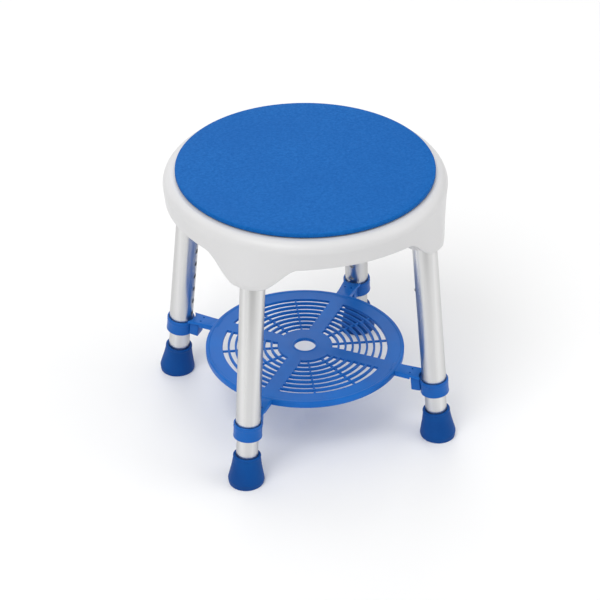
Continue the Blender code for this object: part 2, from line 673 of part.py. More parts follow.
def swivel_base(lift):
    """Plate that lies in the dish and plugs into the bush, with a groove for the glide ring."""
    low = SEAT_TOP - DISH_DEPTH + GAP
    high = low + BASE_THICK
    bore_r = STUB_R + STUB_CLEAR
    foot_z = SEAT_TOP - DISH_DEPTH - SPIGOT_DEPTH
    profile = [(bore_r, high), (BASE_R - BASE_CHAMFER, high), (BASE_R, high - BASE_CHAMFER), (BASE_R, low),
               (SPIGOT_R, low), (SPIGOT_R, foot_z), (bore_r, foot_z)]
    add_object("swivel_base", turned(profile, DISC_SIDES), "white_plastic", lift)
    bottom = high + GAP
    top = disc_bottom() + DISC_THICK - DISC_WEB - GAP
    outer_r = BASE_R - GLIDE_INSET
    profile = [(outer_r, top), (outer_r, bottom), (outer_r - GLIDE_WIDTH, bottom),
               (outer_r - GLIDE_WIDTH, top)]
    add_object("glide_ring", turned(profile, DISC_SIDES // 2), "pale_plastic", lift)


def disc_bottom():
    """Height of the disc's lowest edge."""
    return SEAT_TOP + DISC_CLEAR


def disc(turn):
    """Turning top: a thin plate with a rounded edge, a lip below it and a stub in the middle."""
    bottom = disc_bottom()
    top = bottom + DISC_THICK
    web = top - DISC_WEB
    stub_end = SEAT_TOP - DISH_DEPTH - SPIGOT_DEPTH - GAP
    hole_top = stub_end + SCREW_LENGTH + GAP
    profile = [(0, top)]
    profile += arc((DISC_R - DISC_ROUND, top - DISC_ROUND), DISC_ROUND, 90, 0, DISC_ROUND_STEPS)
    profile += [(DISC_R, bottom + DISC_CHAMFER), (DISC_R - DISC_CHAMFER, bottom),
                (DISC_R - DISC_LIP, bottom), (DISC_R - DISC_LIP, web), (STUB_R, web), (STUB_R, stub_end),
                (SCREW_R + GAP, stub_end), (SCREW_R + GAP, hole_top), (0, hole_top)]
    add_object("disc", turned(profile, DISC_SIDES, closed=False), "disc_plastic", turn)
    head = stub_end - GAP
    profile = [(0, head + SCREW_LENGTH), (SCREW_R, head + SCREW_LENGTH), (SCREW_R, head),
               (SCREW_HEAD_R, head), (SCREW_HEAD_R, head - SCREW_HEAD + SCREW_CHAMFER),
               (SCREW_HEAD_R - SCREW_CHAMFER, head - SCREW_HEAD), (0, head - SCREW_HEAD)]
    add_object("pivot_screw", turned(profile, SMALL_SIDES, closed=False), "steel", turn)


def build_top():
    """The pieces that lift off the seat, and the disc that turns on them."""
    pivot_bush()
    lift = add_empty("top_lift_axis")
    swivel_base(lift)
    disc(add_empty("disc_turn_axis", parent=lift))


# ------------------------------------------------------------------ tray

def tray_radius():
    """Radius of the tray's rim, which leaves a gap to the collars' socket blocks."""
    return axis_radius(TRAY_TOP) - COLLAR_R - CLIP_REACH - TRAY_GAP


def tray_columns(radius):
    """Directions of the grille's column edges over one turn, at this radius, in radians."""
    reach = max(radius, TRAY_HUB_R)
    spoke = math.asin(TRAY_SPOKE / 2 / reach)
    rib = math.asin(TRAY_RIB / 2 / reach)
    third = math.pi / 6
    columns = []
    for quarter in range(4):
        start = math.pi / 4 + quarter * math.pi / 2
        edges = [-spoke, spoke]
        for i in (1, 2):
            edges += [i * third - rib, i * third + rib]
        edges.append(math.pi / 2 - spoke)
        for i in (1, 3, 5):
            columns += [start + edges[i - 1], start + edges[i]]
            columns.append(start + (edges[i] + edges[i + 1]) / 2)
    return columns


def tray_bands():
    """Radii of the grille's band edges, from the middle hole outwards."""
    bands = [TRAY_HOLE_R, TRAY_HUB_R]
    while bands[-1] + TRAY_SLOT < tray_radius() - TRAY_BAND:
        bands.append(bands[-1] + TRAY_SLOT)
        bands.append(bands[-1] + TRAY_ARC)
    bands[-1] = tray_radius() - TRAY_RIM_WIDTH / 2
    return bands


def tray_grille():
    """The flat grille: a round grid of cells with the slots left out."""
    bands = tray_bands()
    columns = [tray_columns(radius) for radius in bands]
    count = len(columns[0])
    bm = bmesh.new()
    rings = []
    for radius, turns in zip(bands, columns):
        rings.append([bm.verts.new((radius * math.cos(t), radius * math.sin(t), TRAY_TOP)) for t in turns])
    for band in range(len(bands) - 1):
        is_slot = band % 2 == 1
        for i in range(count):
            if is_slot and i % 3 != 0:
                continue
            j = (i + 1) % count
            bm.faces.new((rings[band][i], rings[band + 1][i], rings[band + 1][j], rings[band][j]))
    grown = bmesh.ops.extrude_face_region(bm, geom=bm.faces[:])["geom"]
    bmesh.ops.translate(bm, verts=[v for v in grown if isinstance(v, bmesh.types.BMVert)],
                        vec=(0, 0, -TRAY_THICK))
    return bm


def tray_arm():
    """Plan outline of one arm along +X, with a forked end that faces its tube."""
    tube_at = axis_radius(TRAY_TOP)
    bow = OUTER_R / math.cos(SPLAY) + TAB_CLEAR
    half = math.asin(TAB_FORK / 2 / bow)
    start = tray_radius() - TRAY_RIM_WIDTH - TAB_OVERLAP
    widens = tray_radius() + TAB_STRAIGHT
    outline = [(start, -TAB_ROOT / 2), (widens, -TAB_ROOT / 2)]
    for i in range(TAB_ARC_STEPS + 1):
        turn = -half + 2 * half * i / TAB_ARC_STEPS
        outline.append((tube_at - bow * math.cos(turn), bow * math.sin(turn)))
    outline += [(widens, TAB_ROOT / 2), (start, TAB_ROOT / 2)]
    return outline


def lip_radius():
    """Distance from the stool's middle to the middle of a collar's pocket."""
    pocket_far = COLLAR_R + CLIP_REACH - CLIP_WALL
    pocket_near = COLLAR_R + CLIP_WALL
    middle = (pocket_far + pocket_near) / 2
    height = COLLAR_TOP - LIP_DEPTH / 2
    return FOOT_CIRCLE - middle * math.cos(SPLAY) - height * math.sin(SPLAY)


def towards_each_leg(source):
    """Copies of a piece made along +X, one in each leg's direction."""
    bm = bmesh.new()
    for azimuth in LEGS.values():
        mesh = bpy.data.meshes.new("copy")
        source.to_mesh(mesh)
        mesh.transform(Matrix.Rotation(math.radians(azimuth), 4, "Z"))
        bm.from_mesh(mesh)
        bpy.data.meshes.remove(mesh)
    source.free()
    return bm


def build_tray():
    """Grille with a rim, four arms and a lip under each arm for the collar's pocket."""
    tray = add_object("tray", tray_grille(), "blue_plastic")
    bottom = TRAY_TOP - TRAY_THICK
    rim_r = tray_radius()
    rim_in = rim_r - TRAY_RIM_WIDTH
    rim = turned([(rim_in, TRAY_TOP + TRAY_BEAD), (rim_r - TRAY_CHAMFER, TRAY_TOP + TRAY_BEAD),
                  (rim_r, TRAY_TOP - TRAY_CHAMFER), (rim_r, TRAY_TOP - TRAY_RIM_DEPTH),
                  (rim_in, TRAY_TOP - TRAY_RIM_DEPTH)], TRAY_SIDES)
    boolean(tray, add_object("tray_rim_ring", rim), "UNION")
    arms = towards_each_leg(prism(tray_arm(), bottom + TAB_INSET, TRAY_TOP - TAB_INSET))
    boolean(tray, add_object("tray_arm_blocks", arms), "UNION")
    lip = bmesh.new()
    middle = lip_radius()
    block(lip, (middle - LIP_THICK / 2, -LIP_WIDTH / 2, bottom - LIP_DEPTH),
          (middle + LIP_THICK / 2, LIP_WIDTH / 2, TRAY_TOP - TRAY_THICK / 2))
    boolean(tray, add_object("tray_lip_blocks", towards_each_leg(lip)), "UNION")


# ------------------------------------------------------------------ stool

def build():
    """The whole stool."""
    for obj in list(bpy.data.objects):
        bpy.data.objects.remove(obj)
    build_seat()
    build_top()
    build_tray()
    for leg, azimuth in LEGS.items():
        build_leg(leg, azimuth)


build()
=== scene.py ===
"""The shower stool's looks: its moulded seat, turning top, tray and telescopic legs, in a plain studio."""

import json
import logging
import math
from dataclasses import dataclass
from enum import Enum
from functools import lru_cache
from typing import Iterable, Sequence

import bmesh
import bpy
from mathutils import Matrix, Vector


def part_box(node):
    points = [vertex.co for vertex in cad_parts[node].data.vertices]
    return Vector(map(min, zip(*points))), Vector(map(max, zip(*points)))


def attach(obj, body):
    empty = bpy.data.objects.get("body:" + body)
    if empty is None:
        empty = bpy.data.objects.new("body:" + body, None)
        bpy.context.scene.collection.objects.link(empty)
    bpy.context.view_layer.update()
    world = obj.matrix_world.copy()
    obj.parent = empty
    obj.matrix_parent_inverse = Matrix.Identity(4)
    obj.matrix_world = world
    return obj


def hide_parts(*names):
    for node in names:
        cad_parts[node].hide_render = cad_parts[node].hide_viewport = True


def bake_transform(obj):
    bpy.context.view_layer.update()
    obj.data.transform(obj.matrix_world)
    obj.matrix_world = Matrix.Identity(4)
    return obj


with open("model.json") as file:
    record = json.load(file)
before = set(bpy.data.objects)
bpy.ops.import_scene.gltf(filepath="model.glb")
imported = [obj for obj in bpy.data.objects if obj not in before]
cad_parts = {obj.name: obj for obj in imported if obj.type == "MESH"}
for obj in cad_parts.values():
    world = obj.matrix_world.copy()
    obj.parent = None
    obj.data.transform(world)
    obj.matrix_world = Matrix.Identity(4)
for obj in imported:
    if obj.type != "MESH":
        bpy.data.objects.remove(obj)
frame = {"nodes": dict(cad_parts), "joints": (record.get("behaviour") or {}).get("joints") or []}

LOG = logging.getLogger("shower_stool")
MM = 0.001
WELD = 0.002 * MM    # points nearer than this are merged
UP = Vector((0, 0, 1))
Colour = tuple[float, float, float, float]
Corner = tuple[float, float, float]
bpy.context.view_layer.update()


class Joining(Enum):
    """How a second solid changes a first one."""

    ADD = "UNION"
    CUT = "DIFFERENCE"


class Leg(Enum):
    """The four legs, by the names that their nodes start with."""

    FRONT = "front"
    RIGHT = "right"
    REAR = "rear"
    LEFT = "left"


# ------------------------------------------------------------------ outlines and solids

def filleted(corners: Sequence[Corner], closed: bool = True, steps: int = 4) -> list[tuple[float, float]]:
    """Rounds the corners of an outline.

    Args:
        corners: Points of the outline as (x, y, fillet radius).
        closed: Whether the last point is joined to the first.
        steps: How many pieces each fillet's arc has.

    Returns:
        The points of the rounded outline.
    """
    points: list[tuple[float, float]] = []
    for i, (x, y, radius) in enumerate(corners):
        if radius <= 0 or (not closed and i in (0, len(corners) - 1)):
            points.append((x, y))
            continue
        here = Vector((x, y))
        before = (Vector(corners[i - 1][:2]) - here).normalized()
        after = (Vector(corners[(i + 1) % len(corners)][:2]) - here).normalized()
        half = before.angle(after) / 2
        centre = here + (before + after).normalized() * (radius / math.sin(half))
        start = here + before * (radius / math.tan(half)) - centre
        end = here + after * (radius / math.tan(half)) - centre
        turn = math.atan2(start.x * end.y - start.y * end.x, start.dot(end))
        for k in range(steps + 1):
            share = turn * k / steps
            points.append((centre.x + start.x * math.cos(share) - start.y * math.sin(share),
                           centre.y + start.x * math.sin(share) + start.y * math.cos(share)))
    return points


def clean(bm: bmesh.types.BMesh) -> bmesh.types.BMesh:
    """Merges a closed shape's doubles and turns its faces outwards."""
    bmesh.ops.remove_doubles(bm, verts=bm.verts, dist=WELD)
    bmesh.ops.recalc_face_normals(bm, faces=bm.faces)
    return bm


def dome(radius: float, foot: float, rise: float, step: float, count: int) -> list[tuple[float, float]]:
    """Profile of a dome, from the axis outwards.

    Args:
        radius: The dome's radius.
        foot: Height of its foot.
        rise: How far its middle stands above its foot, or below for a negative one.
        step: Angle between two points, in degrees.
        count: How many points it has.

    Returns:
        The points as (radius, height).
    """
    turns = [math.radians(step * i) for i in range(count)]
    return [(radius * math.sin(turn), foot + rise * math.cos(turn)) for turn in turns]


def turned(profile: Iterable[tuple[float, float]], sides: int = 96, closed: bool = True) -> bmesh.types.BMesh:
    """Spins a profile of (radius, height) points about +Z.

    Args:
        profile: The points, in order.
        sides: How many sides the turned shape has.
        closed: False for a profile that starts and ends on the axis.

    Returns:
        The closed turned shape.
    """
    bm = bmesh.new()
    verts = [bm.verts.new((r, 0, z)) for r, z in profile]
    edges = [bm.edges.new(pair) for pair in zip(verts, verts[1:])]
    if closed:
        edges.append(bm.edges.new((verts[-1], verts[0])))
    bmesh.ops.spin(bm, geom=verts + edges, cent=(0, 0, 0), axis=(0, 0, 1), dvec=(0, 0, 0),
                   angle=math.tau, steps=sides, use_merge=True, use_duplicate=False)
    return clean(bm)


def swept(profile: Iterable[tuple[float, float]], start: float, end: float, steps: int) -> bmesh.types.BMesh:
    """Spins a filled profile of (radius, height) points through part of a turn about +Z.

    Args:
        profile: The points, in order.
        start: Angle of the first end, in radians.
        end: Angle of the last end, in radians.
        steps: How many pieces the sweep has.

    Returns:
        The closed swept shape, with flat ends.
    """
    bm = bmesh.new()
    face = bm.faces.new([bm.verts.new((r * math.cos(start), r * math.sin(start), z)) for r, z in profile])
    first = bmesh.ops.duplicate(bm, geom=[face] + face.verts[:] + face.edges[:])
    bmesh.ops.spin(bm, geom=[g for g in first["geom"] if isinstance(g, bmesh.types.BMFace)],
                   cent=(0, 0, 0), axis=(0, 0, 1), dvec=(0, 0, 0), angle=end - start, steps=steps,
                   use_merge=False, use_duplicate=False)
    return clean(bm)


def slab(outline: Sequence[tuple[float, float]], low: float, high: float, edge: float) -> bmesh.types.BMesh:
    """Extrudes a plan outline from one height to another, and rounds its upper and lower edges.

    Args:
        outline: The plan's points as (x, y).
        low: Height of the underside.
        high: Height of the top.
        edge: Radius of the rounded edges.

    Returns:
        The closed solid.
    """
    bm = bmesh.new()
    face = bm.faces.new([bm.verts.new((x, y, low)) for x, y in outline])
    grown = bmesh.ops.extrude_face_region(bm, geom=[face])["geom"]
    bmesh.ops.translate(bm, verts=[v for v in grown if isinstance(v, bmesh.types.BMVert)],
                        vec=(0, 0, high - low))
    bmesh.ops.recalc_face_normals(bm, faces=bm.faces)
    if edge > 0:
        flat = [e for e in bm.edges if abs(e.verts[0].co.z - e.verts[1].co.z) < WELD]
        bmesh.ops.bevel(bm, geom=flat, offset=edge, offset_type="OFFSET", segments=2, profile=0.5,
                        affect="EDGES", material=-1, clamp_overlap=True)
    return clean(bm)


def bar(low: Sequence[float], high: Sequence[float], edge: float = 0.0) -> bmesh.types.BMesh:
    """A box between two corners, with all its edges rounded."""
    low, high = Vector(low), Vector(high)
    bm = bmesh.new()
    size = Matrix.Diagonal((*(high - low), 1))
    bmesh.ops.create_cube(bm, size=1, matrix=Matrix.Translation((low + high) / 2) @ size)
    if edge > 0:
        bmesh.ops.bevel(bm, geom=bm.edges[:], offset=edge, offset_type="OFFSET", segments=3, profile=0.5,
                        affect="EDGES", material=-1, clamp_overlap=True)
    return clean(bm)


def pin(start: Vector, end: Vector, radius: float, sides: int = 32) -> bmesh.types.BMesh:
    """A plain round cutter from one point to another."""
    bm = bmesh.new()
    turn = (end - start).to_track_quat("Z", "Y").to_matrix().to_4x4()
    bmesh.ops.create_cone(bm, cap_ends=True, segments=sides, radius1=radius, radius2=radius,
                          depth=(end - start).length, matrix=Matrix.Translation((start + end) / 2) @ turn)
    return clean(bm)


def gathered(parts: Iterable[bmesh.types.BMesh]) -> bmesh.types.BMesh:
    """Puts several shapes in one, and frees them."""
    whole = bmesh.new()
    for part in parts:
        mesh = bpy.data.meshes.new("part")
        part.to_mesh(mesh)
        part.free()
        whole.from_mesh(mesh)
        bpy.data.meshes.remove(mesh)
    return whole


def placed(bm: bmesh.types.BMesh, matrix: Matrix) -> bmesh.types.BMesh:
    """Moves a shape to where the matrix says."""
    bmesh.ops.transform(bm, matrix=matrix, verts=bm.verts)
    return bm


def about_z(bm: bmesh.types.BMesh, angle: float) -> bmesh.types.BMesh:
    """Turns a shape about the stool's middle, by an angle in radians."""
    return placed(bm, Matrix.Rotation(angle, 4, "Z"))


def new_object(name: str, bm: bmesh.types.BMesh) -> bpy.types.Object:
    """Makes an object of a shape, at the origin."""
    mesh = bpy.data.meshes.new(name)
    bm.to_mesh(mesh)
    bm.free()
    obj = bpy.data.objects.new(name, mesh)
    bpy.context.scene.collection.objects.link(obj)
    return obj


def join_solids(obj: bpy.types.Object, steps: Sequence[tuple[Joining, bmesh.types.BMesh]]) -> None:
    """Adds solids to an object and cuts others from it, in order, and keeps the result as its mesh.

    Args:
        obj: The object to change.
        steps: Each step's kind, and its shape, which is used up.
    """
    tools = []
    for kind, shape in steps:
        tool = new_object(f"{obj.name}_tool", shape)
        tools.append(tool)
        modifier = obj.modifiers.new(kind.name, "BOOLEAN")
        modifier.operation = kind.value
        modifier.object = tool
        modifier.solver = "EXACT"
    bpy.context.view_layer.update()
    graph = bpy.context.evaluated_depsgraph_get()
    result = bpy.data.meshes.new_from_object(obj.evaluated_get(graph))
    obj.modifiers.clear()
    old = obj.data
    obj.data = result
    result.name = obj.name
    bpy.data.meshes.remove(old)
    for tool in tools:
        mesh = tool.data
        bpy.data.objects.remove(tool)
        bpy.data.meshes.remove(mesh)


def fit_out(obj: bpy.types.Object, body: str | None, material: bpy.types.Material,
            replaces: Sequence[str] = (), sharp: float = 35.0) -> bpy.types.Object:
    """Shades a piece, gives it its finish and hangs it on its body.

    Args:
        obj: The piece.
        body: The CAD body that carries it, or None for a piece that hangs on no body.
        material: Its finish.
        replaces: The CAD nodes that the piece stands for.
        sharp: Angle in degrees above which an edge is shaded sharp.

    Returns:
        The same piece.
    """
    obj.data.shade_smooth()
    obj.data.set_sharp_from_angle(angle=math.radians(sharp))
    obj.data.materials.clear()
    obj.data.materials.append(material)
    if body:
        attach(obj, body)
    if replaces:
        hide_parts(*replaces)
    LOG.info("%s rides on %s, %d faces", obj.name, body or "two bodies", len(obj.data.polygons))
    return obj


def dress_node(node: str, material: bpy.types.Material) -> None:
    """Gives a CAD node that stays its finish."""
    for slot in frame["nodes"][node].material_slots:
        slot.material = material
    LOG.info("%s keeps its CAD shape", node)


# ------------------------------------------------------------------ shader groups

class NodeSheet:
    """A node tree that is written as a list of steps."""

    def __init__(self, tree: bpy.types.NodeTree) -> None:
        """Takes the tree to fill."""
        self.tree = tree

    def add(self, kind: str, links: dict | None = None, values: dict | None = None,
            **settings: object) -> bpy.types.Node:
        """Adds a node.

        Args:
            kind: The node's type.
            links: For each input, by name or number, the socket that feeds it.
            values: For each input, by name or number, its own value.
            settings: The node's other properties.

        Returns:
            The new node.
        """
        node = self.tree.nodes.new(kind)
        for name, value in settings.items():
            setattr(node, name, value)
        for key, value in (values or {}).items():
            node.inputs[key].default_value = value
        for key, socket in (links or {}).items():
            self.tree.links.new(socket, node.inputs[key])
        return node

    def math(self, operation: str, first: object, second: object = 0.0) -> bpy.types.NodeSocket:
        """Adds a Math node on two sockets or numbers, and returns what it puts out."""
        node = self.tree.nodes.new("ShaderNodeMath")
        node.operation = operation
        for i, value in enumerate((first, second)):
            if isinstance(value, bpy.types.NodeSocket):
                self.tree.links.new(value, node.inputs[i])
            else:
                node.inputs[i].default_value = value
        return node.outputs[0]

    def remap(self, value: bpy.types.NodeSocket, low: float, high: float, to_low: float,
              to_high: float) -> bpy.types.NodeSocket:
        """Adds a clamped Map Range, and returns what it puts out."""
        node = self.add("ShaderNodeMapRange", {"Value": value},
                        {"From Min": low, "From Max": high, "To Min": to_low, "To Max": to_high})
        return node.outputs["Result"]

    def noise(self, vector: bpy.types.NodeSocket, scale: object, detail: float = 2.0,
              rough: float = 0.5) -> bpy.types.NodeSocket:
        """Adds a noise texture, and returns its value."""
        node = self.add("ShaderNodeTexNoise", {"Vector": vector}, {"Detail": detail, "Roughness": rough})
        if isinstance(scale, bpy.types.NodeSocket):
            self.tree.links.new(scale, node.inputs["Scale"])
        else:
            node.inputs["Scale"].default_value = scale
        return node.outputs["Fac"]

    def mix_colour(self, share: object, first: object, second: object) -> bpy.types.NodeSocket:
        """Adds a colour mix on sockets or colours, and returns what it puts out."""
        node = self.tree.nodes.new("ShaderNodeMix")
        node.data_type = "RGBA"
        for index, value in ((0, share), (6, first), (7, second)):
            if isinstance(value, bpy.types.NodeSocket):
                self.tree.links.new(value, node.inputs[index])
            else:
                node.inputs[index].default_value = value
        return node.outputs[2]


def start_group(name: str, inputs: Sequence[tuple[str, str, object]],
                outputs: Sequence[tuple[str, str]]) -> tuple[NodeSheet, bpy.types.Node, bpy.types.Node]:
    """Makes an empty shader group.

    Args:
        name: The group's name.
        inputs: Each input's name, socket type and value.
        outputs: Each output's name and socket type.

    Returns:
        The group's sheet, its input node and its output node.
    """
    tree = bpy.data.node_groups.new(name, "ShaderNodeTree")
    for label, kind, value in inputs:
        socket = tree.interface.new_socket(label, in_out="INPUT", socket_type=kind)
        if value is not None:
            socket.default_value = value
    for label, kind in outputs:
        tree.interface.new_socket(label, in_out="OUTPUT", socket_type=kind)
    return NodeSheet(tree), tree.nodes.new("NodeGroupInput"), tree.nodes.new("NodeGroupOutput")


def moulding_group() -> bpy.types.NodeTree:
    """The skin of moulded plastic: a fine spark texture and a long soft waviness.

    Returns:
        A group that puts out Height for a bump, Mottle for colour and Sheen for roughness.
    """
    sheet, given, out = start_group(
        "moulded_skin",
        [("Vector", "NodeSocketVector", None), ("Grain Scale", "NodeSocketFloat", 1500.0),
         ("Grain", "NodeSocketFloat", 0.5), ("Wave Scale", "NodeSocketFloat", 18.0),
         ("Wave", "NodeSocketFloat", 0.5)],
        [("Height", "NodeSocketFloat"), ("Mottle", "NodeSocketFloat"), ("Sheen", "NodeSocketFloat")])
    vector = given.outputs["Vector"]
    fine = sheet.noise(vector, given.outputs["Grain Scale"], detail=3.0, rough=0.6)
    wave = sheet.noise(vector, given.outputs["Wave Scale"], detail=1.5)
    height = sheet.math("ADD", sheet.math("MULTIPLY", fine, given.outputs["Grain"]),
                        sheet.math("MULTIPLY", wave, given.outputs["Wave"]))
    broad = sheet.noise(vector, sheet.math("MULTIPLY", given.outputs["Wave Scale"], 0.6), detail=4.0)
    mottle = sheet.math("ADD", sheet.math("MULTIPLY", broad, 0.7), sheet.math("MULTIPLY", fine, 0.3))
    sheet.tree.links.new(height, out.inputs["Height"])
    sheet.tree.links.new(mottle, out.inputs["Mottle"])
    sheet.tree.links.new(sheet.remap(broad, 0.3, 0.7, 0.0, 1.0), out.inputs["Sheen"])
    return sheet.tree


def hairline_group() -> bpy.types.NodeTree:
    """Faint scuffs that handling and wiping leave.

    Returns:
        A group that puts out Marks, which is one on a scuff and none elsewhere.
    """
    sheet, given, out = start_group(
        "hairline_scuffs",
        [("Vector", "NodeSocketVector", None), ("Scale", "NodeSocketFloat", 60.0),
         ("Amount", "NodeSocketFloat", 0.5)],
        [("Marks", "NodeSocketFloat")])
    total = None
    for turn, stretch in ((0.4, 0.05), (1.5, 0.07), (2.5, 0.04)):
        mapped = sheet.add("ShaderNodeMapping", {"Vector": given.outputs["Vector"]},
                           {"Rotation": (turn * 0.3, turn * 0.5, turn), "Scale": (1.0, stretch, 1.0)})
        lines = sheet.noise(mapped.outputs["Vector"],
                            sheet.math("MULTIPLY", given.outputs["Scale"], 18.0), detail=1.0)
        thin = sheet.remap(lines, 0.66, 0.72, 0.0, 1.0)
        total = thin if total is None else sheet.math("MAXIMUM", total, thin)
    patches = sheet.remap(sheet.noise(given.outputs["Vector"], given.outputs["Scale"], detail=2.0),
                          0.45, 0.62, 0.0, 1.0)
    marks = sheet.math("MULTIPLY", sheet.math("MULTIPLY", total, patches), given.outputs["Amount"])
    sheet.tree.links.new(marks, out.inputs["Marks"])
    return sheet.tree


def pebble_group() -> bpy.types.NodeTree:
    """The matt pebbled grip of the turning top.

    Returns:
        A group that puts out Height for a bump, Speck for fine colour and Cloud for broad colour.
    """
    sheet, given, out = start_group(
        "pebbled_grip",
        [("Vector", "NodeSocketVector", None), ("Scale", "NodeSocketFloat", 900.0)],
        [("Height", "NodeSocketFloat"), ("Speck", "NodeSocketFloat"), ("Cloud", "NodeSocketFloat")])
    vector, scale = given.outputs["Vector"], given.outputs["Scale"]
    cells = sheet.add("ShaderNodeTexVoronoi", {"Vector": vector, "Scale": scale}, feature="SMOOTH_F1")
    fine = sheet.noise(vector, sheet.math("MULTIPLY", scale, 1.7), detail=2.0)
    pebble = sheet.math("SUBTRACT", 1.0, cells.outputs["Distance"])
    height = sheet.math("ADD", sheet.math("MULTIPLY", pebble, 0.7), sheet.math("MULTIPLY", fine, 0.3))
    patch = sheet.noise(vector, sheet.math("MULTIPLY", scale, 0.35), detail=3.0, rough=0.7)
    speck = sheet.math("ADD", sheet.math("MULTIPLY", patch, 0.75), sheet.math("MULTIPLY", fine, 0.25))
    sheet.tree.links.new(height, out.inputs["Height"])
    sheet.tree.links.new(sheet.remap(speck, 0.35, 0.65, 0.0, 1.0), out.inputs["Speck"])
    cloud = sheet.noise(vector, sheet.math("MULTIPLY", scale, 0.018), detail=3.0)
    sheet.tree.links.new(sheet.remap(cloud, 0.35, 0.65, 0.0, 1.0), out.inputs["Cloud"])
    return sheet.tree


def drawn_group() -> bpy.types.NodeTree:
    """The long fine lines of drawn or brushed metal, which run along the vector's Z.

    Returns:
        A group that puts out Lines for a bump and Streak for colour and roughness.
    """
    sheet, given, out = start_group(
        "drawn_lines",
        [("Vector", "NodeSocketVector", None), ("Across", "NodeSocketFloat", 2600.0),
         ("Along", "NodeSocketFloat", 0.004)],
        [("Lines", "NodeSocketFloat"), ("Streak", "NodeSocketFloat")])
    squeeze = sheet.add("ShaderNodeCombineXYZ", {"Z": given.outputs["Along"]}, {"X": 1.0, "Y": 1.0})
    flat = sheet.add("ShaderNodeVectorMath",
                     {0: given.outputs["Vector"], 1: squeeze.outputs["Vector"]}, operation="MULTIPLY")
    lines = sheet.noise(flat.outputs["Vector"], given.outputs["Across"], detail=3.0, rough=0.65)
    broad = sheet.noise(flat.outputs["Vector"], sheet.math("MULTIPLY", given.outputs["Across"], 0.12),
                        detail=2.0)
    streak = sheet.math("ADD", sheet.math("MULTIPLY", lines, 0.4), sheet.math("MULTIPLY", broad, 0.6))
    sheet.tree.links.new(lines, out.inputs["Lines"])
    sheet.tree.links.new(sheet.remap(streak, 0.35, 0.65, 0.0, 1.0), out.inputs["Streak"])
    return sheet.tree


class Effects:
    """The shader groups that the finishes share, each built once."""

    def __init__(self) -> None:
        """Builds the groups."""
        self.skin = moulding_group()
        self.scuffs = hairline_group()
        self.pebbles = pebble_group()
        self.drawn = drawn_group()


EFFECTS = Effects()


# ------------------------------------------------------------------ finishes

@dataclass
class Surface:
    """A new material's parts: its sheet of nodes, its Principled shader and its Object coordinates."""

    material: bpy.types.Material
    sheet: NodeSheet
    shader: bpy.types.Node
    place: bpy.types.NodeSocket

    @classmethod
    def start(cls, name: str, colour: Colour) -> "Surface":
        """Makes a material that has a name and, in the viewport, a plain colour."""
        material = bpy.data.materials.new(name)
        material.use_nodes = True
        material.diffuse_color = colour
        sheet = NodeSheet(material.node_tree)
        place = sheet.add("ShaderNodeTexCoord").outputs["Object"]
        return cls(material, sheet, material.node_tree.nodes["Principled BSDF"], place)

    def feed(self, colour: bpy.types.NodeSocket, rough: bpy.types.NodeSocket, height: bpy.types.NodeSocket,
             strength: float, depth: float) -> None:
        """Feeds the shader its colour, its roughness and a bump.

        Args:
            colour: Goes to Base Color.
            rough: Goes to Roughness.
            height: The bump's height.
            strength: The bump's strength.
            depth: The bump's height in metres where the height is one.
        """
        bump = self.sheet.add("ShaderNodeBump", {"Height": height}, {"Strength": strength, "Distance": depth})
        normal = bump.outputs["Normal"]
        for label, socket in (("Base Color", colour), ("Roughness", rough), ("Normal", normal)):
            self.sheet.tree.links.new(socket, self.shader.inputs[label])


def use_group(sheet: NodeSheet, group: bpy.types.NodeTree, vector: bpy.types.NodeSocket,
              values: dict[str, float]) -> bpy.types.Node:
    """Places a shared group in a material, with the material's own values."""
    node = sheet.add("ShaderNodeGroup", node_tree=group)
    for label, value in values.items():
        node.inputs[label].default_value = value
    sheet.tree.links.new(vector, node.inputs["Vector"])
    return node


@dataclass(frozen=True)
class MouldedPlastic:
    """Injection-moulded plastic with a spark-eroded skin and faint scuffs."""

    name: str
    light: Colour
    dark: Colour
    roughness: float = 0.38
    spread: float = 0.06        # how far the roughness strays
    grain_scale: float = 1500.0
    grain: float = 0.5
    wave_scale: float = 18.0
    wave: float = 0.5
    depth: float = 0.05 * MM    # height of the bump
    strength: float = 0.25
    scuffs: float = 0.5
    scuff_rough: float = 0.25   # how much rougher a scuff is
    coat: float = 0.0
    coat_rough: float = 0.12
    specular: float = 0.5

    def build(self) -> bpy.types.Material:
        """Makes the material."""
        surface = Surface.start(self.name, self.light)
        sheet, shader, place = surface.sheet, surface.shader, surface.place
        skin = use_group(sheet, EFFECTS.skin, place,
                         {"Grain Scale": self.grain_scale, "Grain": self.grain,
                          "Wave Scale": self.wave_scale, "Wave": self.wave})
        scuffs = use_group(sheet, EFFECTS.scuffs, place, {"Amount": self.scuffs})
        tone = sheet.remap(skin.outputs["Mottle"], 0.38, 0.62, 0.0, 1.0)
        colour = sheet.mix_colour(tone, self.dark, self.light)
        rough = sheet.remap(skin.outputs["Sheen"], 0.0, 1.0, self.roughness - self.spread,
                            self.roughness + self.spread)
        worn = sheet.math("ADD", rough, sheet.math("MULTIPLY", scuffs.outputs["Marks"], self.scuff_rough))
        surface.feed(colour, worn, skin.outputs["Height"], self.strength, self.depth)
        shader.inputs["Specular IOR Level"].default_value = self.specular
        shader.inputs["Coat Weight"].default_value = self.coat
        shader.inputs["Coat Roughness"].default_value = self.coat_rough
        return surface.material


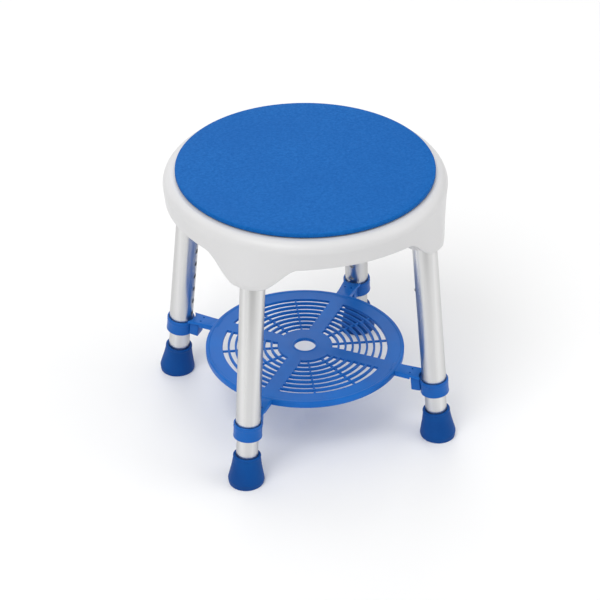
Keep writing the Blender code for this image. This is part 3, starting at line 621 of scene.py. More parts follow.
@dataclass(frozen=True)
class PebbledPlastic:
    """Matt plastic with a fine pebbled grip, lighter on the pebbles than between them."""

    name: str
    light: Colour
    dark: Colour
    shade: Colour               # colour of the broad clouds
    clouds: float = 0.35        # how far the clouds reach their colour
    roughness: float = 0.52
    duller: float = 0.06        # how much rougher it is between the pebbles
    glossier: float = 0.04      # how much smoother it is on them
    scuffs: float = 0.6
    scuff_gloss: float = 0.12   # how much smoother a scuff is
    scale: float = 900.0
    depth: float = 0.12 * MM
    strength: float = 0.35
    specular: float = 0.05

    def build(self) -> bpy.types.Material:
        """Makes the material."""
        surface = Surface.start(self.name, self.light)
        sheet, place = surface.sheet, surface.place
        grip = use_group(sheet, EFFECTS.pebbles, place, {"Scale": self.scale})
        scuffs = use_group(sheet, EFFECTS.scuffs, place, {"Amount": self.scuffs})
        fine = sheet.mix_colour(grip.outputs["Speck"], self.dark, self.light)
        share = sheet.math("MULTIPLY", grip.outputs["Cloud"], self.clouds)
        colour = sheet.mix_colour(share, fine, self.shade)
        rough = sheet.remap(grip.outputs["Speck"], 0.0, 1.0, self.roughness + self.duller,
                            self.roughness - self.glossier)
        worn = sheet.math("SUBTRACT", rough,
                          sheet.math("MULTIPLY", scuffs.outputs["Marks"], self.scuff_gloss))
        surface.feed(colour, worn, grip.outputs["Height"], self.strength, self.depth)
        surface.shader.inputs["Specular IOR Level"].default_value = self.specular
        return surface.material


@dataclass(frozen=True)
class DrawnMetal:
    """Drawn or brushed metal, whose lines run along one direction of its own place; its base colour carries a
    painted reflection.
    """

    name: str
    light: Colour
    dark: Colour
    turn: tuple[float, float, float] = (0.0, 0.0, 0.0)
    roughness: float = 0.30
    spread: float = 0.05
    across: float = 2600.0
    along: float = 0.004
    strength: float = 0.06
    depth: float = 0.02 * MM
    scuffs: float = 0.7
    scuff_scale: float = 45.0
    scuff_rough: float = 0.15
    # painted reflection: tones that darken or lighten the base colour by how far a face turns from the eye
    painted_reflection: tuple[tuple[float, float], ...] = ((0.0, 1.0), (1.0, 1.0))    # (turn from the eye, tone)

    def build(self) -> bpy.types.Material:
        """Makes the material."""
        surface = Surface.start(self.name, self.light)
        sheet, place = surface.sheet, surface.place
        turned_place = sheet.add("ShaderNodeMapping", {"Vector": place}, {"Rotation": self.turn})
        vector = turned_place.outputs["Vector"]
        drawn = use_group(sheet, EFFECTS.drawn, vector, {"Across": self.across, "Along": self.along})
        scuffs = use_group(sheet, EFFECTS.scuffs, place, {"Amount": self.scuffs, "Scale": self.scuff_scale})
        grain = sheet.mix_colour(drawn.outputs["Streak"], self.dark, self.light)
        # Painted reflection: a ramp on Layer Weight's facing tones the base colour in bands, standing in for
        # the studio's reflection.
        facing = sheet.add("ShaderNodeLayerWeight", None, {"Blend": 0.5}).outputs["Facing"]
        reflection_ramp = sheet.add("ShaderNodeValToRGB", {"Fac": facing})
        stops = reflection_ramp.color_ramp.elements
        for spot, _ in self.painted_reflection[1:-1]:
            stops.new(spot)
        for stop, (spot, tone) in zip(stops, self.painted_reflection):
            stop.position = spot
            stop.color = (tone, tone, tone, 1)
        painted_reflection_colour = sheet.add("ShaderNodeVectorMath", {0: grain, 1: reflection_ramp.outputs["Color"]}, operation="MULTIPLY")
        colour = painted_reflection_colour.outputs["Vector"]
        rough = sheet.remap(drawn.outputs["Streak"], 0.0, 1.0, self.roughness + self.spread,
                            self.roughness - self.spread)
        worn = sheet.math("ADD", rough, sheet.math("MULTIPLY", scuffs.outputs["Marks"], self.scuff_rough))
        surface.feed(colour, worn, drawn.outputs["Lines"], self.strength, self.depth)
        surface.shader.inputs["Metallic"].default_value = 1.0
        return surface.material


Finish = MouldedPlastic | PebbledPlastic | DrawnMetal


@lru_cache(maxsize=None)
def material_of(finish: Finish) -> bpy.types.Material:
    """The material of a finish, which is made when it is first asked for."""
    return finish.build()


SEAT_WHITE = MouldedPlastic("moulded_white", light=(0.675, 0.672, 0.675, 1), dark=(0.645, 0.644, 0.650, 1),
                            roughness=0.34, grain_scale=1800.0, grain=0.35, wave_scale=14.0, wave=0.9,
                            strength=0.16, scuffs=0.3, specular=0.4)
TRAY_BLUE = MouldedPlastic("grille_blue", light=(0.008, 0.150, 0.560, 1), dark=(0.005, 0.120, 0.480, 1),
                           roughness=0.34, wave_scale=30.0, specular=0.15)
COLLAR_BLUE = MouldedPlastic("clip_blue", light=(0.006, 0.118, 0.460, 1), dark=(0.004, 0.096, 0.400, 1),
                             roughness=0.32, wave_scale=60.0, specular=0.2)
FOOT_BLUE = MouldedPlastic("foot_rubber", light=(0.002, 0.072, 0.300, 1), dark=(0.002, 0.057, 0.250, 1),
                           roughness=0.50, grain_scale=1100.0, grain=0.8, wave_scale=45.0, strength=0.4,
                           scuffs=0.8, specular=0.12)
CAP_BLACK = MouldedPlastic("glossy_black", light=(0.012, 0.012, 0.013, 1), dark=(0.007, 0.007, 0.008, 1),
                           roughness=0.16, grain=0.2, wave_scale=90.0, strength=0.08, coat=0.6, scuffs=0.25)
BEARING_PALE = MouldedPlastic("natural_plastic", light=(0.60, 0.60, 0.585, 1), dark=(0.54, 0.54, 0.53, 1),
                              roughness=0.45, wave_scale=80.0)
DISC_BLUE = PebbledPlastic("pebbled_blue", light=(0.009, 0.138, 0.460, 1), dark=(0.003, 0.092, 0.355, 1),
                           shade=(0.004, 0.098, 0.372, 1))
BUTTON_STEEL = DrawnMetal("dark_steel", light=(0.155, 0.125, 0.110, 1), dark=(0.085, 0.068, 0.060, 1),
                          roughness=0.26, across=1800.0, along=0.4)
SPRING_STEEL = DrawnMetal("bright_steel", light=(0.62, 0.62, 0.63, 1), dark=(0.48, 0.48, 0.49, 1),
                          roughness=0.24, across=3000.0, along=0.02)


# ------------------------------------------------------------------ seat

def smooth_step(share: float) -> float:
    """An S-shaped rise from none to one."""
    share = min(max(share, 0.0), 1.0)
    return share * share * (3 - 2 * share)


@dataclass
class LegPlace:
    """Where a leg stands: its own frame has +Z up the leg and +X away from the stool's middle."""

    leg: Leg
    matrix: Matrix

    @classmethod
    def read(cls, leg: Leg) -> "LegPlace":
        """Works the leg's frame out from the joint that it is pulled out by."""
        name = f"{leg.value}_leg_pull"
        joint = next(j for j in frame["joints"] if j["name"] == name)
        up = -Vector(joint["axis"]).normalized()
        at = Vector(joint["pos_m"])
        foot = at - up * (at.z / up.z)
        out = Vector((foot.x, foot.y, 0))
        out = (out - up * out.dot(up)).normalized()
        matrix = Matrix((out, up.cross(out), up)).transposed().to_4x4()
        return cls(leg, Matrix.Translation(foot) @ matrix)

    def node_box(self, part: str) -> tuple[Vector, Vector]:
        """Lowest and highest corner of one of the leg's CAD nodes, in the leg's frame."""
        back = self.matrix.inverted()
        spots = [back @ v.co for v in frame["nodes"][f"{self.leg.value}_{part}"].data.vertices]
        low = Vector([min(p[i] for p in spots) for i in range(3)])
        high = Vector([max(p[i] for p in spots) for i in range(3)])
        return low, high

    @property
    def azimuth(self) -> float:
        """Direction of the leg from the stool's middle, in radians."""
        return math.atan2(self.matrix.translation.y, self.matrix.translation.x)

    @property
    def reach(self) -> float:
        """Distance of the leg's foot from the stool's middle."""
        return self.matrix.translation.to_2d().length

    @property
    def upright(self) -> float:
        """Cosine of the leg's lean from upright."""
        return (self.matrix.to_3x3() @ UP).z

    @property
    def splay(self) -> float:
        """Sine of the leg's lean from upright."""
        lean = self.matrix.to_3x3() @ UP
        return math.hypot(lean.x, lean.y)


@dataclass
class Seat:
    """The white seat: one shell with a shallow dish, a rounded rim and four lobes that hold the legs."""

    places: list[LegPlace]
    sides: int = 288
    crowd: float = 0.45              # how much closer together the sides stand at the lobes
    wall: float = 3.5 * MM
    dish_depth: float = 5.0 * MM
    dish_start: float = 78.0 * MM    # from the edge in to the foot of the dish's slope
    crest: float = 11.5 * MM         # from the edge in to the rim's crest
    rim_round: float = 12.0 * MM
    skirt_wall: float = 3.0 * MM
    skirt_depth: float = 31.0 * MM
    skirt_edge: float = 1.3 * MM
    draft: float = 2.0 * MM
    skirt_rows: int = 16
    lobe_depth: float = 61.0 * MM
    lobe_out: float = 8.0 * MM
    lobe_full: float = math.radians(5.0)
    lobe_edge: float = math.radians(20.5)
    lobe_tail: float = math.radians(36.0)
    tail_depth: float = 4.0 * MM
    lobe_soft: float = math.radians(2.2)
    bore: float = 12.5 * MM
    hub: float = 20.0 * MM
    hub_depth: float = 10.0 * MM
    sleeve_bore: float = 14.6 * MM
    sleeve_wall: float = 7.5 * MM
    sleeve_raise: float = 2.6 * MM   # from the lobe's lower edge up to the sleeve's mouth
    sleeve_top_wall: float = 4.0 * MM
    sleeve_roof: float = 8.5 * MM    # from the tube's top up to the end of the sleeve's bore
    sleeve_sink: float = 2.4 * MM    # how far the sleeve's top lies under the dish
    mouth_round: float = 1.2 * MM
    pin_hole: float = 3.7 * MM
    rib_count: int = 8
    rib_thick: float = 3.0 * MM
    rib_depth: float = 8.0 * MM
    rib_short: float = 38.0 * MM     # from the edge in to the end of a rib that meets a sleeve
    rib_long: float = 4.0 * MM       # from the edge in to the end of a rib that meets the skirt

    def __post_init__(self) -> None:
        """Reads the seat's overall size."""
        low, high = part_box("seat_shell")
        self.radius = (high[0] - low[0]) / 2
        self.top = high[2]

    def lobe_angle(self, azimuth: float) -> float:
        """Angle from a direction to the nearest lobe's middle."""
        return min(abs((azimuth - place.azimuth + math.pi) % math.tau - math.pi) for place in self.places)

    def drop(self, angle: float) -> float:
        """How much further than between the lobes the skirt reaches down, at this angle from a lobe."""
        main = smooth_step((self.lobe_edge - angle) / (self.lobe_edge - self.lobe_full))
        tail = smooth_step((self.lobe_tail - angle) / (self.lobe_tail - self.lobe_full))
        deep = self.lobe_depth - self.skirt_depth
        return main * deep + (1 - main) * tail * self.tail_depth

    def swell(self, angle: float) -> float:
        """How much wider than round the lobes' two flats stand, as a share of the radius."""
        leave = math.acos(self.radius / (self.radius + self.lobe_out)) + self.lobe_soft
        soft = math.hypot(angle, self.lobe_soft)
        return 1 / math.cos(max(leave - soft, 0.0)) - 1

    def profile(self) -> list[tuple[float, float]]:
        """Outline of the shell's wall, from the pivot's bore over the rim and back underneath."""
        dish = self.top - self.dish_depth
        under = dish - self.wall
        turn_z = self.top - self.rim_round
        slope_in = self.radius - self.dish_start
        slope_out = self.radius - self.crest
        points = filleted([(self.bore, dish - self.hub_depth, 0.0), (self.bore, dish, 1.0 * MM),
                           (slope_in, dish, 0.0)], closed=False)[:-1]
        points += [(self.bore + (slope_in - self.bore) * i / 4, dish) for i in range(1, 4)]
        for i in range(19):
            share = i / 18
            points.append((slope_in + (slope_out - slope_in) * share,
                           dish + self.dish_depth * smooth_step(share)))
        across = self.radius - slope_out
        for i in range(1, 15):
            turn = math.pi / 2 * (1 - i / 14)
            points.append((slope_out + across * math.cos(turn), turn_z + self.rim_round * math.sin(turn)))
        run = self.skirt_depth - self.rim_round
        edge = self.skirt_edge
        for i in range(1, self.skirt_rows):
            share = i / self.skirt_rows
            points.append((self.radius - self.draft * share, turn_z - (run - edge) * share))
        bottom = turn_z - run
        foot_out = self.radius - self.draft
        foot_in = foot_out - self.skirt_wall
        points += filleted([(foot_out, bottom + edge * 2, 0.0), (foot_out, bottom, edge),
                            (foot_in, bottom, edge), (foot_in, bottom + edge * 2, 0.0)], closed=False)
        for i in range(self.skirt_rows - 1, 0, -1):
            share = i / self.skirt_rows
            points.append((self.radius - self.skirt_wall - self.draft * share, turn_z - (run - edge) * share))
        points += filleted([(self.radius - self.skirt_wall, turn_z, 0.0),
                            (self.radius - self.skirt_wall - 1.5 * MM, under, 3.0 * MM),
                            (self.hub, under, 1.5 * MM), (self.hub, dish - self.hub_depth, 0.8 * MM),
                            (self.bore, dish - self.hub_depth, 0.0)], closed=False)[:-1]
        return points

    def shape_lobes(self, bm: bmesh.types.BMesh) -> None:
        """Crowds the sides towards the legs, then draws the skirt down and out there."""
        turn_z = self.top - self.rim_round
        run = self.skirt_depth - self.rim_round
        inside = self.radius - self.crest - self.rim_round
        for vert in bm.verts:
            radius = math.hypot(vert.co.x, vert.co.y)
            azimuth = math.atan2(vert.co.y, vert.co.x)
            azimuth += self.crowd / 4 * math.sin(4 * azimuth)
            share = (turn_z - vert.co.z) / run
            if share > 0 and radius > inside:
                angle = self.lobe_angle(azimuth)
                vert.co.z -= share * self.drop(angle)
                radius *= 1 + self.swell(angle) * min(share * 1.15, 1.0)
            vert.co.x = radius * math.cos(azimuth)
            vert.co.y = radius * math.sin(azimuth)

    def shell(self) -> bmesh.types.BMesh:
        """The shell before anything is joined to it."""
        bm = turned(self.profile(), self.sides)
        self.shape_lobes(bm)
        return bm

    def sleeve(self, place: LegPlace) -> bmesh.types.BMesh:
        """A tapered socket with a chamfered mouth, bored for the leg."""
        mouth = (self.top - self.lobe_depth) / place.upright + self.sleeve_raise
        roof = place.node_box("outer_tube")[1].z + self.sleeve_roof
        high = (self.top - self.dish_depth - self.sleeve_sink) / place.upright
        outer, inner = self.sleeve_bore + self.sleeve_wall, self.sleeve_bore
        corners = [(0, roof, 0), (inner, roof, self.mouth_round), (inner, mouth, self.mouth_round),
                   (outer, mouth, 0.8 * MM), (inner + self.sleeve_top_wall, high, 0), (0, high, 0)]
        return placed(turned(filleted(corners, closed=False), 64, closed=False), place.matrix)

    def ribs(self) -> Iterable[bmesh.types.BMesh]:
        """The stiffening ribs, from the hub to the skirt or to a sleeve."""
        high = self.top - self.dish_depth - self.wall / 2
        for i in range(self.rib_count):
            azimuth = math.tau * i / self.rib_count
            at_leg = self.lobe_angle(azimuth) < self.lobe_full
            end = self.radius - (self.rib_short if at_leg else self.rib_long)
            rib = bar((self.hub - 3.0 * MM, -self.rib_thick / 2, high - self.rib_depth),
                      (end, self.rib_thick / 2, high), edge=0.6 * MM)
            yield about_z(rib, azimuth)

    def build(self) -> None:
        """Makes and dresses the seat."""
        white = material_of(SEAT_WHITE)
        shell = new_object("seat_moulding", self.shell())
        fit_out(shell, "seat", white, ["seat_shell"], sharp=50.0)
        ribs = new_object("seat_ribs", gathered(self.ribs()))
        fit_out(ribs, "seat", white)
        for place in self.places:
            sleeve = new_object(f"{place.leg.value}_seat_sleeve", self.sleeve(place))
            low, high = place.node_box("seat_button")
            at = (low.z + high.z) / 2
            start = place.matrix @ Vector((-self.sleeve_bore + 4.0 * MM, 0, at))
            end = place.matrix @ Vector((-self.sleeve_bore - self.sleeve_wall - 4.0 * MM, 0, at))
            join_solids(sleeve, [(Joining.CUT, pin(start, end, self.pin_hole))])
            fit_out(sleeve, "seat", white)
        dress_node("pivot_bush", material_of(BEARING_PALE))


# ------------------------------------------------------------------ turning top

@dataclass
class TurningTop:
    """The blue disc that turns on a swivel base in the seat's dish."""

    sides: int = 200
    edge: float = 1.5 * MM
    foot_edge: float = 0.7 * MM
    web: float = 3.2 * MM
    lip: float = 7.0 * MM
    stub: float = 5.6 * MM
    screw: float = 2.25 * MM
    screw_depth: float = 12.35 * MM
    rib_count: int = 16
    rib_thick: float = 1.6 * MM
    rim_gap: float = 1.6 * MM        # from the seat's rim up to the disc's lip
    rib_gap: float = 2.0 * MM        # from the seat's rim up to the disc's ribs
    base_bore: float = 6.0 * MM
    dish_depth: float = 5.0 * MM     # from the seat's rim down to the dish
    dish_gap: float = 0.35 * MM      # from the dish up to the base's underside
    spigot: float = 9.8 * MM
    screw_length: float = 12.0 * MM
    thread: float = 1.9 * MM
    thread_depth: float = 0.35 * MM
    thread_pitch: float = 0.9 * MM
    thread_turns: int = 12
    recess: float = 1.3 * MM
    recess_arm: float = 3.6 * MM
    recess_half: float = 0.7 * MM    # half the width of the cross recess

    def disc(self) -> bmesh.types.BMesh:
        """The disc: a plate with a rounded edge, a lip round its underside and a stub in its middle."""
        low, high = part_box("disc")
        radius, top = high[0], high[2]
        rim_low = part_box("seat_shell")[1][2] + self.rim_gap
        web = top - self.web
        inner = radius - self.lip
        corners = [(0, top, 0), (radius * 0.5, top, 0), (radius * 0.9, top, 0), (radius, top, self.edge),
                   (radius, rim_low, self.foot_edge), (inner, rim_low, 0.5 * MM), (inner, web, 0.8 * MM),
                   (self.stub, web, 1.0 * MM), (self.stub, low[2], 0.5 * MM), (self.screw, low[2], 0),
                   (self.screw, low[2] + self.screw_depth, 0), (0, low[2] + self.screw_depth, 0)]
        return turned(filleted(corners, closed=False, steps=5), self.sides, closed=False)

    def disc_ribs(self) -> Iterable[bmesh.types.BMesh]:
        """Shallow ribs under the disc, between the swivel base and the lip."""
        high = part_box("disc")[1]
        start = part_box("swivel_base")[1][0] + 4.0 * MM
        end = high[0] - self.lip + 1.0 * MM
        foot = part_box("seat_shell")[1][2] + self.rib_gap
        for i in range(self.rib_count):
            rib = bar((start, -self.rib_thick / 2, foot),
                      (end, self.rib_thick / 2, high[2] - self.web + 0.5 * MM), edge=0.3 * MM)
            yield about_z(rib, math.tau * i / self.rib_count)

    def base(self) -> bmesh.types.BMesh:
        """The swivel base, a plate with a hollow spigot under it."""
        low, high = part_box("swivel_base")
        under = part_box("seat_shell")[1][2] - self.dish_depth + self.dish_gap
        corners = [(self.base_bore, high[2], 0.4 * MM), (high[0], high[2], 0.9 * MM),
                   (high[0], under, 0.4 * MM), (self.spigot, under, 0.3 * MM),
                   (self.spigot, low[2], 0.8 * MM), (self.base_bore, low[2], 0.4 * MM)]
        return turned(filleted(corners), 128)

    def screw_piece(self) -> bpy.types.Object:
        """The pivot screw, with a domed head and a cross recess."""
        low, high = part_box("pivot_screw")
        head_r = high[0]
        head_top = high[2] - self.screw_length
        profile = dome(head_r, head_top, low[2] - head_top, 6, 15)
        profile += [(head_r, head_top - 0.2 * MM), (head_r - 0.3 * MM, head_top), (self.thread, head_top)]
        for i in range(self.thread_turns):
            z = head_top + 0.8 * MM + self.thread_pitch * i
            profile += [(self.thread - self.thread_depth, z), (self.thread, z + self.thread_pitch / 2)]
        profile += [(self.thread - 0.6 * MM, high[2] - 0.3 * MM), (0, high[2])]
        obj = new_object("cross_head_screw", turned(profile, 64, closed=False))
        arm, half = self.recess_arm, self.recess_half
        below, floor = low[2] - 1.0 * MM, low[2] + self.recess
        cross = [bar((-arm, -half, below), (arm, half, floor)),
                 bar((-half, -arm, below), (half, arm, floor - 0.01 * MM))]
        join_solids(obj, [(Joining.CUT, shape) for shape in cross])
        return obj

    def build(self) -> None:
        """Makes and dresses the turning top."""
        blue = material_of(DISC_BLUE)
        disc = new_object("turning_disc", self.disc())
        fit_out(disc, "top_disc", blue, ["disc"])
        ribs = new_object("disc_ribs", gathered(self.disc_ribs()))
        fit_out(ribs, "top_disc", blue)
        base = new_object("swivel_plate", self.base())
        fit_out(base, "top_base", material_of(SEAT_WHITE), ["swivel_base"])
        dress_node("glide_ring", material_of(BEARING_PALE))
        fit_out(self.screw_piece(), "top_disc", material_of(SPRING_STEEL), ["pivot_screw"])


# ------------------------------------------------------------------ tray

@dataclass
class Tray:
    """The blue grille between the legs, with an arm to each collar."""

    places: list[LegPlace]
    sides: int = 192
    radius: float = 117.0 * MM
    thick: float = 3.4 * MM
    bead: float = 0.5 * MM
    rim_width: float = 3.4 * MM
    rim_depth: float = 6.8 * MM
    hole: float = 12.5 * MM
    hole_ring: float = 2.2 * MM      # width of the raised edge round the hole
    hub: float = 32.5 * MM
    slot: float = 5.9 * MM
    arc: float = 2.5 * MM
    slots: int = 8
    spoke: float = 17.0 * MM
    slot_lip: float = 0.35 * MM      # chamfer round each slot's top
    rib_width: float = 2.4 * MM
    rib_sink: float = 1.1 * MM       # how far the thin ribs lie under the grille's top
    arm_root: float = 17.0 * MM
    arm_start: float = 4.0 * MM      # from the rim's inner edge in to an arm's start
    arm_neck: float = 6.0 * MM       # from the rim out to where an arm widens
    fork: float = 21.0 * MM
    fork_bow: float = 17.27 * MM
    lip_width: float = 9.0 * MM
    lip_thick: float = 2.4 * MM
    lip_depth: float = 8.0 * MM
    ring_wall: float = 2.5 * MM      # the collar ring's wall
    arm_hole: float = 1.2 * MM
    arm_hole_out: float = 17.0 * MM  # from the rim out to the holes
    arm_hole_side: float = 4.2 * MM
    flange: float = 1.6 * MM
    flange_gap: float = 0.8 * MM

    def __post_init__(self) -> None:
        """Reads the tray's heights."""
        low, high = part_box("tray")
        self.low = low[2]
        self.top = high[2] - self.bead

    def plate(self) -> bmesh.types.BMesh:
        """The round plate with its rim, before the slots are cut."""
        bottom = self.top - self.thick
        inner = self.radius - self.rim_width
        foot = self.top - self.rim_depth
        ring = self.hole + self.hole_ring
        corners = [(self.hole, self.top + self.bead, 1.0 * MM), (ring, self.top + self.bead, 0.5 * MM),
                   (ring + 0.6 * MM, self.top, 0.4 * MM), (inner - 1.0 * MM, self.top, 0.4 * MM),
                   (inner, self.top + self.bead, 0.4 * MM), (self.radius, self.top + self.bead, 1.0 * MM),
                   (self.radius, foot, 0.5 * MM), (inner, foot, 0.5 * MM), (inner, bottom, 0.5 * MM),
                   (self.hole, bottom, 0.4 * MM)]
        return turned(filleted(corners, steps=3), self.sides)

    def slot_cutters(self) -> Iterable[bmesh.types.BMesh]:
        """One arc for each slot, in each quarter between two spokes."""
        bottom = self.top - self.thick - 2.0 * MM
        above = self.top + 2.0 * MM
        for place in self.places:
            for i in range(self.slots):
                near = self.hub + i * (self.slot + self.arc)
                far = near + self.slot
                middle = (near + far) / 2
                side = math.asin(self.spoke / 2 / middle)
                start = place.azimuth + side
                end = place.azimuth + math.pi / 2 - side
                lip = self.slot_lip
                profile = [(near, bottom), (far, bottom), (far, self.top - lip), (far + lip, self.top),
                           (far + lip, above), (near - lip, above), (near - lip, self.top),
                           (near, self.top - lip)]
                yield swept(profile, start, end, 10 + 2 * i)

    def thin_ribs(self) -> Iterable[bmesh.types.BMesh]:
        """Two thin ribs across the slots of each quarter, a little under the grille's top."""
        end = self.hub + self.slots * (self.slot + self.arc)
        for place in self.places:
            for third in (1, 2):
                rib = bar((self.hub - 1.0 * MM, -self.rib_width / 2, self.top - self.thick + 0.05 * MM),
                          (end, self.rib_width / 2, self.top - self.rib_sink), edge=0.3 * MM)
                yield about_z(rib, place.azimuth + third * math.pi / 6)

    def arm(self, place: LegPlace) -> bmesh.types.BMesh:
        """One arm along +X, with a forked end that faces its tube."""
        tube_at = place.reach - self.top * place.splay / place.upright
        half = math.asin(self.fork / 2 / self.fork_bow)
        start = self.radius - self.rim_width - self.arm_start
        widens = self.radius + self.arm_neck
        side = self.arm_root / 2
        bow = [(tube_at - self.fork_bow * math.cos(turn), self.fork_bow * math.sin(turn))
               for turn in [-half + 2 * half * i / 12 for i in range(13)]]
        outline = [(start, -side), (widens, -side)] + bow + [(widens, side), (start, side)]
        return slab(outline, self.top - self.thick + 0.1 * MM, self.top + 0.15 * MM, 0.4 * MM)

    def flanges(self, place: LegPlace) -> bmesh.types.BMesh:
        """The two webs under an arm's sides, along +X, from the rim to just short of the collar's socket."""
        low, high = place.node_box("collar")
        reach = place.reach + low.x * place.upright - high.z * place.splay - self.flange_gap
        side = self.arm_root / 2
        parts = []
        for near, far in ((-side, -side + self.flange), (side - self.flange, side)):
            parts.append(bar((self.radius - self.rim_width, near, self.top - self.rim_depth + 0.2 * MM),
                             (reach, far, self.top - self.thick / 2), edge=0.3 * MM))
        return gathered(parts)

    def lip(self, place: LegPlace) -> bmesh.types.BMesh:
        """The tongue under an arm's end, along +X, that drops into the collar's socket."""
        low, high = place.node_box("collar")
        ring = place.node_box("outer_tube")[1].x + self.ring_wall
        middle = (ring - low.x) / 2
        height = high.z - self.lip_depth / 2
        at = place.reach - middle * place.upright - height * place.splay
        return bar((at - self.lip_thick / 2, -self.lip_width / 2, self.low),
                   (at + self.lip_thick / 2, self.lip_width / 2, self.top - self.thick / 2), edge=0.5 * MM)

    def arm_holes(self) -> Iterable[bmesh.types.BMesh]:
        """Two small moulding holes near each arm's end."""
        for place in self.places:
            for side in (-1, 1):
                x, y = self.radius + self.arm_hole_out, side * self.arm_hole_side
                hole = pin(Vector((x, y, self.top - 1.6 * MM)), Vector((x, y, self.top + 2.0 * MM)),
                           self.arm_hole, 20)
                yield about_z(hole, place.azimuth)

    def build(self) -> None:
        """Makes and dresses the tray."""
        tray = new_object("grille_tray", self.plate())
        join_solids(tray, [
            (Joining.CUT, gathered(self.slot_cutters())),
            (Joining.ADD, gathered(self.thin_ribs())),
            (Joining.ADD, gathered(about_z(self.arm(p), p.azimuth) for p in self.places)),
            (Joining.ADD, gathered(about_z(self.flanges(p), p.azimuth) for p in self.places)),
            (Joining.ADD, gathered(about_z(self.lip(p), p.azimuth) for p in self.places)),
            (Joining.CUT, gathered(self.arm_holes())),
        ])
        fit_out(tray, "tray", material_of(TRAY_BLUE), ["tray"], sharp=30.0)


# ------------------------------------------------------------------ legs

# The tubes' painted reflection: tones on their base colour by how far their faces turn from the eye, standing
# in for the studio's reflection.
TUBE_PAINTED_REFLECTION = ((0.0, 0.27), (0.05, 0.38), (0.14, 0.68), (0.30, 0.84), (0.5, 0.72), (0.8, 0.58), (1.0, 0.55))


